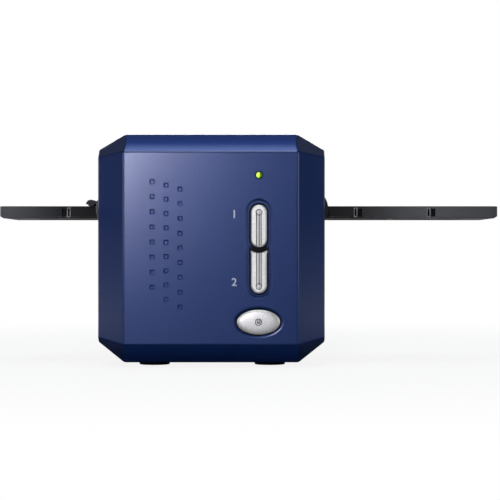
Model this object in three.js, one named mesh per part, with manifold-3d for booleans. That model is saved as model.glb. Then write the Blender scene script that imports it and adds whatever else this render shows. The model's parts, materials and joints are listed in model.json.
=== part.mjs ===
// A desktop scanner for strips of film negatives, with its film holder in the slot.
// Millimetres, +Z up. The front faces -Y, and the feet stand on z = 0.
// The film holder is centred on x = 0. The case sits half a film frame to its left,
// so that one frame of the strip lies over the scanning window.

import * as THREE from "three";
import { mergeVertices } from "three/addons/utils/BufferGeometryUtils.js";
import Module from "manifold-3d";

const wasm = await Module();
wasm.setup();

// Overall size of the case
const overallDepth = 272;
const bodyWidth = 115.8;
const bodyHeight = 116.5;
const footHeight = 2.1;
const wall = 2.4;

// Flat front face, its chamfers and the cut corners of the case
const faceSideInset = 13.9;
const faceTopDrop = 9.6;
const faceBottomRise = 9.5;
const chamferDepth = 16;
const topCornerWidth = 14.0;
const topCornerHeight = 7.7;
const topFacetDrop = 11.9;
const bottomCornerWidth = 13.4;
const bottomCornerHeight = 10.4;
const bottomFacetRise = 12.5;

// How the case comes apart
const bezelDepth = 26;
const rearPanelThickness = 3;
const seam = 0.3;
const seatGap = 0.2;
const runGap = 0.3;
const pinGap = 0.15;
const overrun = 1;

// Feet
const footRadius = 7.9;
const footSeatDepth = 0.6;
const footSideInset = 27.9;
const footInset = 36;

// Film, film holder and its notches
const framePitch = 38;
const frameCount = 6;
const frameLength = 36;
const frameHeight = 24;
const filmWidth = 35;
const filmThickness = 0.15;
const holderLength = 260;
const holderDepth = 60;
const holderThickness = 6.3;
const holderLevelShare = 0.634335;
const holderFrontInset = 34.2;
const holderEndRadius = 5;
const holderEndCutLength = 2.3;
const holderEndCutHeight = 1.2;
const holderFloor = 2.8;
const holderFrontWall = 5;
const filmChannelDepth = 0.5;
const notchDepth = 2.5;
const notchRise = 0.9;
const notchHeight = 4.2;
const notchSlotStart = -1.9;
const notchSlotWidth = 1.05;
const notchPocketStart = -0.15;
const notchPocketWidth = 2.35;
const holderPinRadius = 0.8;
const holderPinInset = 2.6;
const holderPinShortfall = 8;

// Slot frames and dust doors
const slotFrameHeight = 13.6;
const slotFrameDrop = 1.9;
const slotFrameLength = 66;
const slotFrameProud = 2.4;
const slotFrameBar = 1.5;
const slotFrameEndBar = 1.8;
const slotFrameInside = 0.5;
const doorHingeInset = 0.7;
const doorHingeDrop = 1.9;
const doorBarrelRadius = 1.2;
const doorPinRadius = 0.5;
const doorReach = 8.5;
const doorCrown = 1.4;
const doorRibStart = 4.3;
const doorRibWidth = 2.9;
const doorSpringLength = 6;
const doorSpringThickness = 0.35;

// Film track and click spring
const trackSideGap = 4.9;
const trackThickness = 3.2;
const trackRailWidth = 5.2;
const trackRailHeight = 5.8;
const scanWindowMargin = 1.5;
const clickSpringThickness = 0.4;
const clickSpringHeight = 3.4;
const clickSpringHalfLength = 12;
const clickSpringPocket = 3.6;
const clickNoseReach = 1.4;
const clickNoseHalfWidth = 0.8;
const clickNoseSpread = 2.2;

// Steel chassis
const chassisLift = 1.6;
const sheet = 1.2;
const chassisSideGap = 14.9;
const chassisFrontInset = 30;
const chassisRearInset = 8;
const rearSectionShare = 0.268382;
const rearUprightHeight = 56;
const cableWindowWidth = 18;
const cableWindowHeight = 26;
const padHalfSize = 5;

// Guide rod, lead screw, gears and motor
const driveSideGap = 9;
const driveZ = 40;
const rodRadius = 3;
const gearModule = 0.8;
const gearTeeth = 36;
const pinionTeeth = 12;
const gearWidth = 5;
const gearBacklash = 0.2;
const gearStandoff = 3;
const pressureAngle = THREE.MathUtils.degToRad(20);
const addendumShare = 0.8;
const dedendumShare = 1.2;
const motorRadius = 17.5;
const motorLength = 22;
const motorShaftRadius = 2;
const motorShaftDepth = 8;
const motorPlateGap = 4;
const motorPlateMargin = 3;

// Scanning carriage
const scanTravel = 26;
const opticsSideGap = 8;
const opticsWall = 2;
const opticsFront = 14;
const opticsRearGap = 25;
const opticsBottom = 30;
const opticsTopGap = 4.5;
const coverThickness = 1.4;
const scanLineInset = 6;
const slitWidth = 6;
const mirrorHeight = 24;
const mirrorThickness = 1.5;
const lensRadius = 8;
const lensLength = 22;
const lensMiddleShare = 0.522727;
const lensWall = 3;
const boardThickness = 1.6;
const sensorHeight = 6;
const sensorThickness = 2.5;
const lugHeight = 16;
const bushingWall = 1.5;
const bushingLength = 10;
const frontBushingY = -8;
const rearBushingInset = 18;
const nutFlangeRadius = 6.2;
const nutFlangeThickness = 2;
const nutLength = 14;
const nutMiddle = 48;
const lampSideInset = 5;
const lampColumnBack = 60;
const lampColumnDepth = 10;
const lampBeamRise = 7.5;
const lampBeamThickness = 6.2;
const lampBeamFront = 7;
const diffuserThickness = 3.4;
const diffuserDepth = 9;

// Main board, sockets and flat cable
const mainBoardLift = 6.6;
const mainBoardFrontGap = 2.2;
const mainBoardRearInset = 5;
const mainBoardSideGap = 2;
const standoffRadius = 2.5;
const chipSize = 16;
const chipThickness = 1.8;
const usbSocketWidth = 12;
const usbSocketHeight = 11;
const usbSocketLength = 17;
const usbMouthWidth = 8.4;
const usbMouthHeight = 7.8;
const usbMouthDepth = 10;
const usbTongueWidth = 5.6;
const usbTongueHeight = 3.2;
const usbSideGap = 7;
const powerSocketWidth = 9.4;
const powerSocketHeight = 11;
const powerSocketLength = 14;
const powerBoreRadius = 3.2;
const powerPinRadius = 1.05;
const powerBoreDepth = 9;
const socketPitch = 20;
const ribbonWidth = 14;
const ribbonThickness = 0.5;
const ribbonSideGap = 5;
const ribbonStartZ = 38;
const ribbonBend = 6;

// Buttons, lamp and switches of the front panel
const buttonProud = 0.8;
const buttonGap = 0.3;
const buttonTravel = 0.8;
const buttonRound = 0.6;
const buttonFlangeThickness = 1;
const buttonStemRadius = 2;
const scanButtonInset = 19.8;
const scanButtonWidth = 8.1;
const upperButtonDrop = 26.7;
const lowerButtonRise = 26;
const buttonSplitRise = 0.8;
const betweenButtons = 2.65;
const recessWidth = 13.5;
const recessMargin = 2.75;
const recessDepth = 0.6;
const powerButtonInset = 20;
const powerButtonRise = 11.7;
const powerButtonWidth = 21.6;
const powerButtonHeight = 12.5;
const statusLampInset = 19.7;
const statusLampDrop = 11.9;
const statusLampRadius = 1.5;
const statusRingGap = 0.35;
const panelBoardStandoff = 9;
const panelBoardWidth = 30;
const panelBoardRise = 3.4;
const panelBoardDrop = 6;
const panelBossRadius = 2.6;
const panelBossInset = 3.5;
const switchSize = 6.4;
const switchHeight = 3.5;
const plungerRadius = 1.6;
const plungerOut = 1;
const plungerIn = 1;

// Square dimples of the front face, in three columns
const dimpleSize = 2.2;
const dimpleDepth = 0.5;
const dimpleOuterInset = 14.6;
const dimpleOuterDrop = 15.2;
const dimpleOuterRise = 29.21;
const dimpleOuterCount = 8;
const dimpleMiddleInset = 21.6;
const dimpleMiddleDrop = 16.9;
const dimpleMiddleRise = 23.06;
const dimpleMiddleCount = 9;
const dimpleInnerInset = 28.6;
const dimpleInnerDrop = 18.9;
const dimpleInnerRise = 19.3;
const dimpleInnerCount = 9;

// Case screws and vents of the rear panel
const screwSideInset = 11.9;
const screwUpperDrop = 20.6;
const screwLowerRise = 25.9;
const screwHeadRadius = 2.75;
const screwHeadHeight = 1.7;
const screwShankRadius = 1.2;
const screwLength = 11;
const screwCrossLength = 3.2;
const screwCrossWidth = 0.7;
const screwCrossDepth = 0.9;
const screwBossRadius = 3.2;
const screwBossLength = 14;
const ventWidth = 44;
const ventHeight = 1.8;
const ventPitch = 4.6;
const ventCount = 5;
const ventDrop = 34.6;

// Fineness of round shapes
const rodSides = 24;
const smallSides = 12;
const arcSteps = 8;
const roundSteps = 2;

// Places worked out from the sizes above
const bodyHalf = bodyWidth / 2;
const frontY = -overallDepth / 2 + buttonProud;
const rearY = overallDepth / 2;
const bodyTop = footHeight + bodyHeight;
const faceHalfWidth = bodyHalf - faceSideInset;
const faceTop = bodyTop - faceTopDrop;
const faceBottom = footHeight + faceBottomRise;
const footX = bodyHalf - footSideInset;
const screwX = bodyHalf - screwSideInset;
const screwUpperZ = bodyTop - screwUpperDrop;
const screwLowerZ = footHeight + screwLowerRise;
const ventBottom = bodyTop - ventDrop;
const chamferY = frontY + chamferDepth;
const bezelRear = frontY + bezelDepth;
const housingFront = bezelRear + seam;
const rearPanelFront = rearY - rearPanelThickness;
const housingRear = rearPanelFront - seam;
const holderBottom = footHeight + bodyHeight * holderLevelShare;
const holderTop = holderBottom + holderThickness;
const partingZ = holderBottom + holderThickness / 2;
const holderFrontY = frontY + holderFrontInset;
const filmY = holderFrontY + holderDepth / 2;
const slotFrameBottom = holderBottom - slotFrameDrop;
const slotFrameTop = slotFrameBottom + slotFrameHeight;
const slotMouthTop = slotFrameTop - slotFrameBar;
const trackLength = bodyWidth - 2 * trackSideGap;
const trackTop = holderBottom - runGap;
const trackBottom = trackTop - trackThickness;
const trackFront = holderFrontY - runGap - trackRailWidth;
const trackRear = holderFrontY + holderDepth + runGap + trackRailWidth;
const chassisHalfWidth = bodyHalf - chassisSideGap;
const chassisBottom = footHeight + wall + chassisLift;
const chassisFloor = chassisBottom + sheet;
const chassisFront = frontY + chassisFrontInset;
const chassisRear = rearY - chassisRearInset;
const rearUprightY = rearY - overallDepth * rearSectionShare;
const scanRestY = filmY + scanTravel / 2;
const gearDistance = gearModule * (gearTeeth + pinionTeeth) / 2;
const driveX = chassisHalfWidth - driveSideGap;
const motorX = driveX - gearDistance;
const gearFront = rearUprightY + gearStandoff;
const gearRear = gearFront + gearWidth;
const motorPlateFront = gearRear + motorPlateGap;
const motorPlateRear = motorPlateFront + sheet;
const motorFront = motorPlateRear + seatGap;
const mainBoardHalfWidth = chassisHalfWidth - mainBoardSideGap;
const mainBoardFront = motorPlateRear + mainBoardFrontGap;
const mainBoardRear = rearPanelFront - mainBoardRearInset;
const mainBoardBottom = chassisFloor + mainBoardLift + seatGap;
const mainBoardTop = mainBoardBottom + boardThickness;
const usbX = usbSideGap - mainBoardHalfWidth;
const powerX = usbX + socketPitch;
const opticsHeight = trackBottom - opticsTopGap - opticsBottom;
const opticsHalfWidth = driveX - opticsSideGap;
const opticsLength = rearUprightY - opticsRearGap - scanRestY + opticsFront;
const opticalAxisZ = opticsBottom + opticsHeight / 2;
const lensMiddle = opticsLength * lensMiddleShare;
const scanLineLength = 2 * (opticsHalfWidth - scanLineInset);
const rearBushingY = opticsLength - opticsFront - rearBushingInset;
const lampHalfWidth = opticsHalfWidth - lampSideInset;
const lampBeamBottom = holderTop + lampBeamRise;
const ribbonX = ribbonSideGap - opticsHalfWidth;
const panelBoardFront = frontY + wall + panelBoardStandoff;
const panelBoardBottom = faceBottom + panelBoardRise;
const panelBoardTop = faceTop - panelBoardDrop;
const scanButtonX = faceHalfWidth - scanButtonInset;
const upperButtonTop = faceTop - upperButtonDrop;
const lowerButtonBottom = faceBottom + lowerButtonRise;
const upperButtonBottom = (upperButtonTop + lowerButtonBottom) / 2 + buttonSplitRise;
const powerButtonX = faceHalfWidth - powerButtonInset;
const powerButtonZ = faceBottom + powerButtonRise;
const statusLampX = faceHalfWidth - statusLampInset;
const statusLampZ = faceTop - statusLampDrop;

const finishes = {
  navyPaint: { color: 0x1b2661, roughness: 0.42, metalness: 0.35 },
  navyPlain: { color: 0x1a2350, roughness: 0.55, metalness: 0.1 },
  silverButton: { color: 0xb4b7bc, roughness: 0.32, metalness: 0.8 },
  blackPlastic: { color: 0x1b1c1f, roughness: 0.55, metalness: 0 },
  charcoalPlastic: { color: 0x2a2b2e, roughness: 0.5, metalness: 0 },
  rubber: { color: 0x121212, roughness: 0.9, metalness: 0 },
  steel: { color: 0x9fa3a6, roughness: 0.4, metalness: 0.9 },
  brass: { color: 0xb08d4a, roughness: 0.35, metalness: 0.9 },
  board: { color: 0x1f5a33, roughness: 0.6, metalness: 0 },
  chip: { color: 0x17181a, roughness: 0.5, metalness: 0 },
  mirror: { color: 0xdfe4e8, roughness: 0.05, metalness: 1 },
  film: { color: 0x5a2c16, roughness: 0.2, metalness: 0 },
  diffuser: { color: 0xf2f3ee, roughness: 0.5, metalness: 0 },
  gearPlastic: { color: 0xe6e3d8, roughness: 0.5, metalness: 0 },
  greenLamp: { color: 0xb9e34a, roughness: 0.2, metalness: 0 },
  flatCable: { color: 0xd8d9d6, roughness: 0.5, metalness: 0 },
};

// Basic solids. Ranges are pairs of a low and a high value.
function toSolid(geometry) {
  const bare = geometry.clone();
  bare.deleteAttribute("normal");
  bare.deleteAttribute("uv");
  const merged = mergeVertices(bare);
  const vertProperties = merged.attributes.position.array;
  const triVerts = new Uint32Array(merged.index.array);
  return new wasm.Manifold(new wasm.Mesh({ numProp: 3, vertProperties, triVerts }));
}

function toGeometry(solid) {
  const mesh = solid.getMesh();
  const geometry = new THREE.BufferGeometry();
  geometry.setAttribute("position", new THREE.BufferAttribute(mesh.vertProperties, 3));
  geometry.setIndex(new THREE.BufferAttribute(mesh.triVerts, 1));
  geometry.computeVertexNormals();
  return geometry;
}

function span(middle, length) {
  return [middle - length / 2, middle + length / 2];
}

function grown([low, high], margin) {
  return [low - margin, high + margin];
}

function block([x0, x1], [y0, y1], [z0, z1]) {
  const geometry = new THREE.BoxGeometry(x1 - x0, y1 - y0, z1 - z0);
  geometry.translate((x0 + x1) / 2, (y0 + y1) / 2, (z0 + z1) / 2);
  return toSolid(geometry);
}

function rodAlongY(radius, [y0, y1], x = 0, z = 0, sides = rodSides) {
  const geometry = new THREE.CylinderGeometry(radius, radius, y1 - y0, sides);
  geometry.translate(x, (y0 + y1) / 2, z);
  return toSolid(geometry);
}

function rodAlongX(radius, [x0, x1], y = 0, z = 0, sides = rodSides) {
  const geometry = new THREE.CylinderGeometry(radius, radius, x1 - x0, sides);
  geometry.rotateZ(Math.PI / 2);
  geometry.translate((x0 + x1) / 2, y, z);
  return toSolid(geometry);
}

function rodAlongZ(radius, [z0, z1], x = 0, y = 0, sides = rodSides) {
  const geometry = new THREE.CylinderGeometry(radius, radius, z1 - z0, sides);
  geometry.rotateX(Math.PI / 2);
  geometry.translate(x, y, (z0 + z1) / 2);
  return toSolid(geometry);
}

// A shape drawn in x and z, drawn out along y, with its end edges rounded.
function prismAlongY(shape, [y0, y1], round = 0) {
  const geometry = new THREE.ExtrudeGeometry(shape, {
    depth: y1 - y0 - 2 * round,
    curveSegments: arcSteps,
    bevelEnabled: round > 0,
    bevelThickness: round,
    bevelSize: round,
    bevelOffset: -round,
    bevelSegments: roundSteps,
  });
  geometry.rotateX(Math.PI / 2);
  geometry.translate(0, y1 - round, 0);
  return toSolid(geometry);
}

// A shape drawn in x and y, drawn out along z.
function prismAlongZ(shape, [z0, z1]) {
  const options = { depth: z1 - z0, curveSegments: arcSteps, bevelEnabled: false };
  const geometry = new THREE.ExtrudeGeometry(shape, options);
  geometry.translate(0, 0, z0);
  return toSolid(geometry);
}

// A shape drawn in y and z, drawn out along x.
function prismAlongX(shape, [x0, x1]) {
  const options = { depth: x1 - x0, curveSegments: arcSteps, bevelEnabled: false };
  const geometry = new THREE.ExtrudeGeometry(shape, options);
  const turn = new THREE.Matrix4().makeBasis(
    new THREE.Vector3(0, 1, 0),
    new THREE.Vector3(0, 0, 1),
    new THREE.Vector3(1, 0, 0),
  );
  geometry.applyMatrix4(turn);
  geometry.translate(x0, 0, 0);
  return toSolid(geometry);
}

function outline(points) {
  return new THREE.Shape(points.map(([a, b]) => new THREE.Vector2(a, b)));
}

function stadium(width, low, high) {
  const radius = width / 2;
  const shape = new THREE.Shape();
  shape.absarc(0, high - radius, radius, 0, Math.PI, false);
  shape.absarc(0, low + radius, radius, Math.PI, 2 * Math.PI, false);
  return shape;
}

function ellipse(width, height) {
  const shape = new THREE.Shape();
  shape.absellipse(0, 0, width / 2, height / 2, 0, 2 * Math.PI, false, 0);
  return shape;
}

function joined(first, ...others) {
  return others.reduce((whole, next) => whole.add(next), first);
}

function cut(first, ...others) {
  return others.reduce((rest, next) => rest.subtract(next), first);
}

function place(parent, name, solid, finish, x = 0, y = 0, z = 0) {
  const material = new THREE.MeshStandardMaterial(finishes[finish]);
  const mesh = new THREE.Mesh(toGeometry(solid), material);
  mesh.name = name;
  mesh.position.set(x, y, z);
  parent.add(mesh);
  return mesh;
}

// The case: a block whose corners are cut along its depth and whose front edges are chamfered.
const caseCorners = [
  {
    level: bodyTop,
    face: faceTop,
    width: topCornerWidth,
    edge: bodyTop - topCornerHeight,
    facet: bodyTop - topFacetDrop,
  },
  {
    level: footHeight,
    face: faceBottom,
    width: bottomCornerWidth,
    edge: footHeight + bottomCornerHeight,
    facet: footHeight + bottomFacetRise,
  },
];

function casePlanes() {
  const middle = new THREE.Vector3(0, 0, footHeight + bodyHeight / 2);
  const planes = [];
  function addPlane(...points) {
    const plane = new THREE.Plane();
    plane.setFromCoplanarPoints(...points.map((point) => new THREE.Vector3(...point)));
    if (plane.distanceToPoint(middle) > 0) plane.negate();
    planes.push(plane);
  }
  for (const side of [-1, 1]) {
    const edgeX = side * bodyHalf;
    const faceX = side * faceHalfWidth;
    addPlane([faceX, frontY, faceTop], [faceX, frontY, faceBottom], [edgeX, chamferY, faceTop]);
    for (const { level, face, width, edge, facet } of caseCorners) {
      const flatX = side * (bodyHalf - width);
      addPlane([flatX, frontY, level], [flatX, rearY, level], [edgeX, rearY, edge]);
      addPlane([faceX, frontY, face], [flatX, chamferY, level], [edgeX, chamferY, facet]);
    }
  }
  for (const { level, face } of caseCorners) {
    addPlane([-faceHalfWidth, frontY, face], [faceHalfWidth, frontY, face], [0, chamferY, level]);
  }
  return planes;
}

const planesOfCase = casePlanes();

// The solid inside the case surface, moved in by inset, between two depths and two heights.
function caseForm(inset, [y0, y1], [z0, z1]) {
  const low = Math.max(z0, footHeight + inset);
  const high = Math.min(z1, bodyTop - inset);
  const front = Math.max(y0, frontY + inset);
  let form = block(span(0, bodyWidth - 2 * inset), [front, y1], [low, high]);
  for (const { normal, constant } of planesOfCase) {
    form = form.trimByPlane([-normal.x, -normal.y, -normal.z], constant + inset);
  }
  return form;
}

// Front bezel with its button openings, dimples and the posts that carry the panel board
const scanRecessLow = lowerButtonBottom - recessMargin + buttonGap;
const scanRecessHigh = upperButtonTop + recessMargin + buttonGap;
const upperArcZ = upperButtonBottom + scanButtonWidth / 2;

function upperButtonForm(grow, ys, round = 0) {
  const shape = stadium(scanButtonWidth + 2 * grow, upperButtonBottom - grow, upperButtonTop + grow);
  return prismAlongY(shape, ys, round);
}

function lowerButtonForm(grow, ys, round = 0) {
  const width = scanButtonWidth + 2 * grow;
  const shape = stadium(width, lowerButtonBottom - grow, upperArcZ + width / 2);
  const hollowRadius = scanButtonWidth / 2 + betweenButtons - grow;
  const hollow = rodAlongY(hollowRadius, grown(ys, overrun), 0, upperArcZ, rodSides * 2);
  const above = block(span(0, width + overrun), grown(ys, overrun), [upperArcZ, upperArcZ + width]);
  return cut(prismAlongY(shape, ys, round), hollow, above);
}

function powerButtonForm(grow, ys, round = 0) {
  return prismAlongY(ellipse(powerButtonWidth + 2 * grow, powerButtonHeight + 2 * grow), ys, round);
}

function dimples() {
  const columns = [
    [dimpleOuterInset, dimpleOuterDrop, dimpleOuterRise, dimpleOuterCount],
    [dimpleMiddleInset, dimpleMiddleDrop, dimpleMiddleRise, dimpleMiddleCount],
    [dimpleInnerInset, dimpleInnerDrop, dimpleInnerRise, dimpleInnerCount],
  ];
  const cuts = [];
  for (const [inset, drop, rise, count] of columns) {
    const x = inset - faceHalfWidth;
    const top = faceTop - drop;
    const pitch = (top - faceBottom - rise) / (count - 1);
    for (let row = 0; row < count; row += 1) {
      const ys = [frontY - overrun, frontY + dimpleDepth];
      cuts.push(block(span(x, dimpleSize), ys, span(top - row * pitch, dimpleSize)));
    }
  }
  return cuts;
}

// The lower posts pass between the power button and the scan buttons.
function panelBossPlaces() {
  const lowerZ = (powerButtonZ + powerButtonHeight / 2 + lowerButtonBottom) / 2;
  const upperZ = panelBoardTop - panelBossInset;
  const xs = span(scanButtonX, panelBoardWidth - 2 * panelBossInset);
  return xs.flatMap((x) => [[x, lowerZ], [x, upperZ]]);
}

function frontBezel() {
  const allHeights = [footHeight, bodyTop];
  const through = [frontY - overrun, frontY + wall + overrun];
  const recess = stadium(recessWidth, scanRecessLow, scanRecessHigh);
  const shell = cut(
    caseForm(0, [frontY, bezelRear], allHeights),
    caseForm(wall, [frontY, bezelRear + overrun], allHeights),
    prismAlongY(recess, [frontY - overrun, frontY + recessDepth]).translate([scanButtonX, 0, 0]),
    upperButtonForm(buttonGap, through).translate([scanButtonX, 0, 0]),
    lowerButtonForm(buttonGap, through).translate([scanButtonX, 0, 0]),
    powerButtonForm(buttonGap, through).translate([powerButtonX, 0, powerButtonZ]),
    rodAlongY(statusLampRadius + statusRingGap, through, statusLampX, statusLampZ),
    ...dimples(),
  );
  const bossYs = [frontY + wall - seatGap, panelBoardFront - seatGap];
  const bosses = panelBossPlaces().map(([x, z]) => rodAlongY(panelBossRadius, bossYs, x, z, smallSides));
  return joined(shell, ...bosses);
}

// Buttons: a cap in the bezel, a flange behind it that keeps it in, and a stem to the switch
const capYs = [-buttonProud, wall + runGap + buttonFlangeThickness];
const flangeYs = [wall + runGap, wall + runGap + buttonFlangeThickness];
const buttonFlange = (betweenButtons - runGap) / 2;
const switchFront = wall + panelBoardStandoff - seatGap - switchHeight;
const stemYs = [flangeYs[0], switchFront - plungerOut - pinGap];

function capWithStem(form, stemZ) {
  const cap = form(0, capYs, buttonRound);
  const flange = form(buttonFlange, flangeYs);
  return joined(cap, flange, rodAlongY(buttonStemRadius, stemYs, 0, stemZ, smallSides));
}

const upperSwitchZ = (upperButtonBottom + upperButtonTop) / 2;
const lowerSwitchZ = (lowerButtonBottom + upperButtonBottom - betweenButtons) / 2;

function buttonSwitch() {
  const ys = [0, switchHeight];
  const boreYs = [-overrun, plungerIn + buttonTravel + runGap];
  const bore = rodAlongY(plungerRadius + pinGap, boreYs, 0, 0, smallSides);
  return cut(block(span(0, switchSize), ys, span(0, switchSize)), bore);
}

function addFrontPanel(scanner) {
  place(scanner, "front_bezel", frontBezel(), "navyPaint");
  const upperButton = capWithStem(upperButtonForm, upperSwitchZ);
  const lowerButton = capWithStem(lowerButtonForm, lowerSwitchZ);
  const powerButton = capWithStem(powerButtonForm, 0);
  place(scanner, "upper_scan_button", upperButton, "silverButton", scanButtonX, frontY);
  place(scanner, "lower_scan_button", lowerButton, "silverButton", scanButtonX, frontY);
  place(scanner, "power_button", powerButton, "silverButton", powerButtonX, frontY, powerButtonZ);

  const boardXs = span(scanButtonX, panelBoardWidth);
  const boardYs = [panelBoardFront, panelBoardFront + boardThickness];
  place(scanner, "panel_board", block(boardXs, boardYs, [panelBoardBottom, panelBoardTop]), "board");
  const lampYs = [0, wall + panelBoardStandoff - seatGap];
  const lamp = rodAlongY(statusLampRadius, lampYs, 0, 0, smallSides);
  place(scanner, "status_lamp", lamp, "greenLamp", statusLampX, frontY, statusLampZ);

  const switches = [
    ["upper_scan", scanButtonX, upperSwitchZ],
    ["lower_scan", scanButtonX, lowerSwitchZ],
    ["power", powerButtonX, powerButtonZ],
  ];
  const plungerYs = [-plungerOut, plungerIn];
  const y = frontY + switchFront;
  for (const [name, x, z] of switches) {
    place(scanner, name + "_switch", buttonSwitch(), "blackPlastic", x, y, z);
    const plunger = rodAlongY(plungerRadius, plungerYs, 0, 0, smallSides);
    place(scanner, name + "_plunger", plunger, "silverButton", x, y, z);
  }
}

// Housings, rear panel, screws and feet
const footPlaces = [
  ["front_left", -footX, frontY + footInset],
  ["front_right", footX, frontY + footInset],
  ["rear_left", -footX, rearY - footInset],
  ["rear_right", footX, rearY - footInset],
];
const slotYs = span(filmY, slotFrameLength);
const slotZs = [slotFrameBottom, slotFrameTop];

function sideSlots() {
  const ys = grown(slotYs, seatGap);
  const zs = grown(slotZs, seatGap);
  const xs = [bodyHalf - wall - overrun, bodyHalf + overrun];
  return [block(xs, ys, zs), block([-xs[1], -xs[0]], ys, zs)];
}

function screwBosses(z) {
  const ys = [housingRear - screwBossLength, housingRear];
  const parts = [];
  for (const side of [-1, 1]) {
    const outer = side * (bodyHalf - wall / 2);
    const xs = [Math.min(side * screwX, outer), Math.max(side * screwX, outer)];
    parts.push(rodAlongY(screwBossRadius, ys, side * screwX, z, smallSides));
    parts.push(block(xs, ys, span(z, screwBossRadius)));
  }
  return parts;
}

function screwHoles(z) {
  const ys = [housingRear - screwBossLength - overrun, housingRear + overrun];
  const radius = screwShankRadius + pinGap;
  return [-1, 1].map((side) => rodAlongY(radius, ys, side * screwX, z, smallSides));
}

function housing(zs, innerZs, screwZ) {
  const shell = cut(
    caseForm(0, [housingFront, housingRear], zs),
    caseForm(wall, [housingFront - overrun, housingRear + overrun], innerZs),
    ...sideSlots(),
  );
  return cut(joined(shell, ...screwBosses(screwZ)), ...screwHoles(screwZ));
}

function upperHousing() {
  return housing([partingZ + seam / 2, bodyTop], [partingZ - overrun, bodyTop], screwUpperZ);
}

function lowerHousing() {
  const padZs = [footHeight + wall / 2, chassisBottom - seatGap];
  const padYs = [chassisFront + padHalfSize * 2, chassisRear - padHalfSize * 2];
  const pads = [];
  for (const x of [-footX, footX]) {
    for (const y of padYs) pads.push(block(span(x, 2 * padHalfSize), span(y, 2 * padHalfSize), padZs));
  }
  const seats = footPlaces.map(([, x, y]) =>
    rodAlongZ(footRadius + seatGap, [footHeight - overrun, footHeight + footSeatDepth], x, y),
  );
  const shell = housing([footHeight, partingZ - seam / 2], [footHeight, partingZ + overrun], screwLowerZ);
  return cut(joined(shell, ...pads), ...seats);
}

function rearPanel() {
  const through = [rearPanelFront - overrun, rearY + overrun];
  const vents = [];
  for (let row = 0; row < ventCount; row += 1) {
    vents.push(block(span(0, ventWidth), through, span(ventBottom + row * ventPitch, ventHeight)));
  }
  const screws = [];
  const sinkYs = [rearY - screwHeadHeight - seatGap, rearY + overrun];
  for (const z of [screwLowerZ, screwUpperZ]) {
    for (const x of [-screwX, screwX]) {
      screws.push(rodAlongY(screwShankRadius + pinGap, through, x, z, smallSides));
      screws.push(rodAlongY(screwHeadRadius + seatGap, sinkYs, x, z));
    }
  }
  const usbZs = [mainBoardTop, mainBoardTop + usbSocketHeight + 2 * seatGap];
  const powerZs = [mainBoardTop, mainBoardTop + powerSocketHeight + 2 * seatGap];
  return cut(
    caseForm(0, [rearPanelFront, rearY], [footHeight, bodyTop]),
    block(span(usbX, usbSocketWidth + 2 * seatGap), through, usbZs),
    block(span(powerX, powerSocketWidth + 2 * seatGap), through, powerZs),
    ...vents,
    ...screws,
  );
}

function caseScrew() {
  const head = rodAlongY(screwHeadRadius, [-screwHeadHeight, 0], 0, 0, smallSides);
  const shank = rodAlongY(screwShankRadius, [-screwLength, -screwHeadHeight + pinGap], 0, 0, smallSides);
  const crossYs = [-screwCrossDepth, overrun];
  const across = block(span(0, screwCrossLength), crossYs, span(0, screwCrossWidth));
  const upright = block(span(0, screwCrossWidth), crossYs, span(0, screwCrossLength));
  return cut(joined(head, shank), across, upright);
}

function addCase(scanner) {
  place(scanner, "upper_housing", upperHousing(), "navyPaint");
  place(scanner, "lower_housing", lowerHousing(), "navyPaint");
  place(scanner, "rear_panel", rearPanel(), "navyPlain");
  for (const [name, x, y] of footPlaces) {
    const foot = rodAlongZ(footRadius, [0, footHeight + footSeatDepth - seatGap]);
    place(scanner, "foot_" + name, foot, "rubber", x, y);
  }
  const screws = [
    ["upper_left", -screwX, screwUpperZ],
    ["upper_right", screwX, screwUpperZ],
    ["lower_left", -screwX, screwLowerZ],
    ["lower_right", screwX, screwLowerZ],
  ];
  for (const [name, x, z] of screws) {
    place(scanner, "case_screw_" + name, caseScrew(), "steel", x, rearY - pinGap, z);
  }
}

// Slot frames: bulged mouth pieces in the sides, with a sprung dust door hinged at the top
const hingeZ = slotMouthTop - doorHingeDrop;
const hingeX = bodyHalf - doorHingeInset;
const mouthYs = grown(slotYs, -slotFrameEndBar);
const mouthZs = [slotFrameBottom + slotFrameBar, slotMouthTop];
const doorPinYs = grown(mouthYs, slotFrameEndBar / 2);

function slotFrame(side) {
  const inner = bodyHalf - wall - slotFrameInside;
  const bulgeRadius = (slotFrameHeight ** 2 / 4 + slotFrameProud ** 2) / (2 * slotFrameProud);
  const middleZ = slotFrameBottom + slotFrameHeight / 2;
  const half = Math.asin(slotFrameHeight / 2 / bulgeRadius);
  const shape = new THREE.Shape();
  shape.moveTo(inner, slotFrameBottom);
  shape.lineTo(bodyHalf, slotFrameBottom);
  shape.absarc(bodyHalf + slotFrameProud - bulgeRadius, middleZ, bulgeRadius, -half, half, false);
  shape.lineTo(inner, slotFrameTop);
  const xs = [inner - overrun, bodyHalf + slotFrameProud + overrun];
  const frame = cut(
    prismAlongY(shape, slotYs),
    block(xs, mouthYs, mouthZs),
    rodAlongY(doorPinRadius + pinGap, grown(doorPinYs, pinGap), hingeX, hingeZ, smallSides),
  );
  return side < 0 ? frame.mirror([1, 0, 0]) : frame;
}

// Door outline from the hinge outwards, with heights counted from the hinge axis.
const doorReachShares = [0, 0.36, 0.55, 0.69, 0.87, 1, 0.97];
const doorCrownShares = [0.8, 0.45, 0.86, 1, 0.72, -0.36, -0.7];
const doorUnderShare = -0.55;

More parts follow.
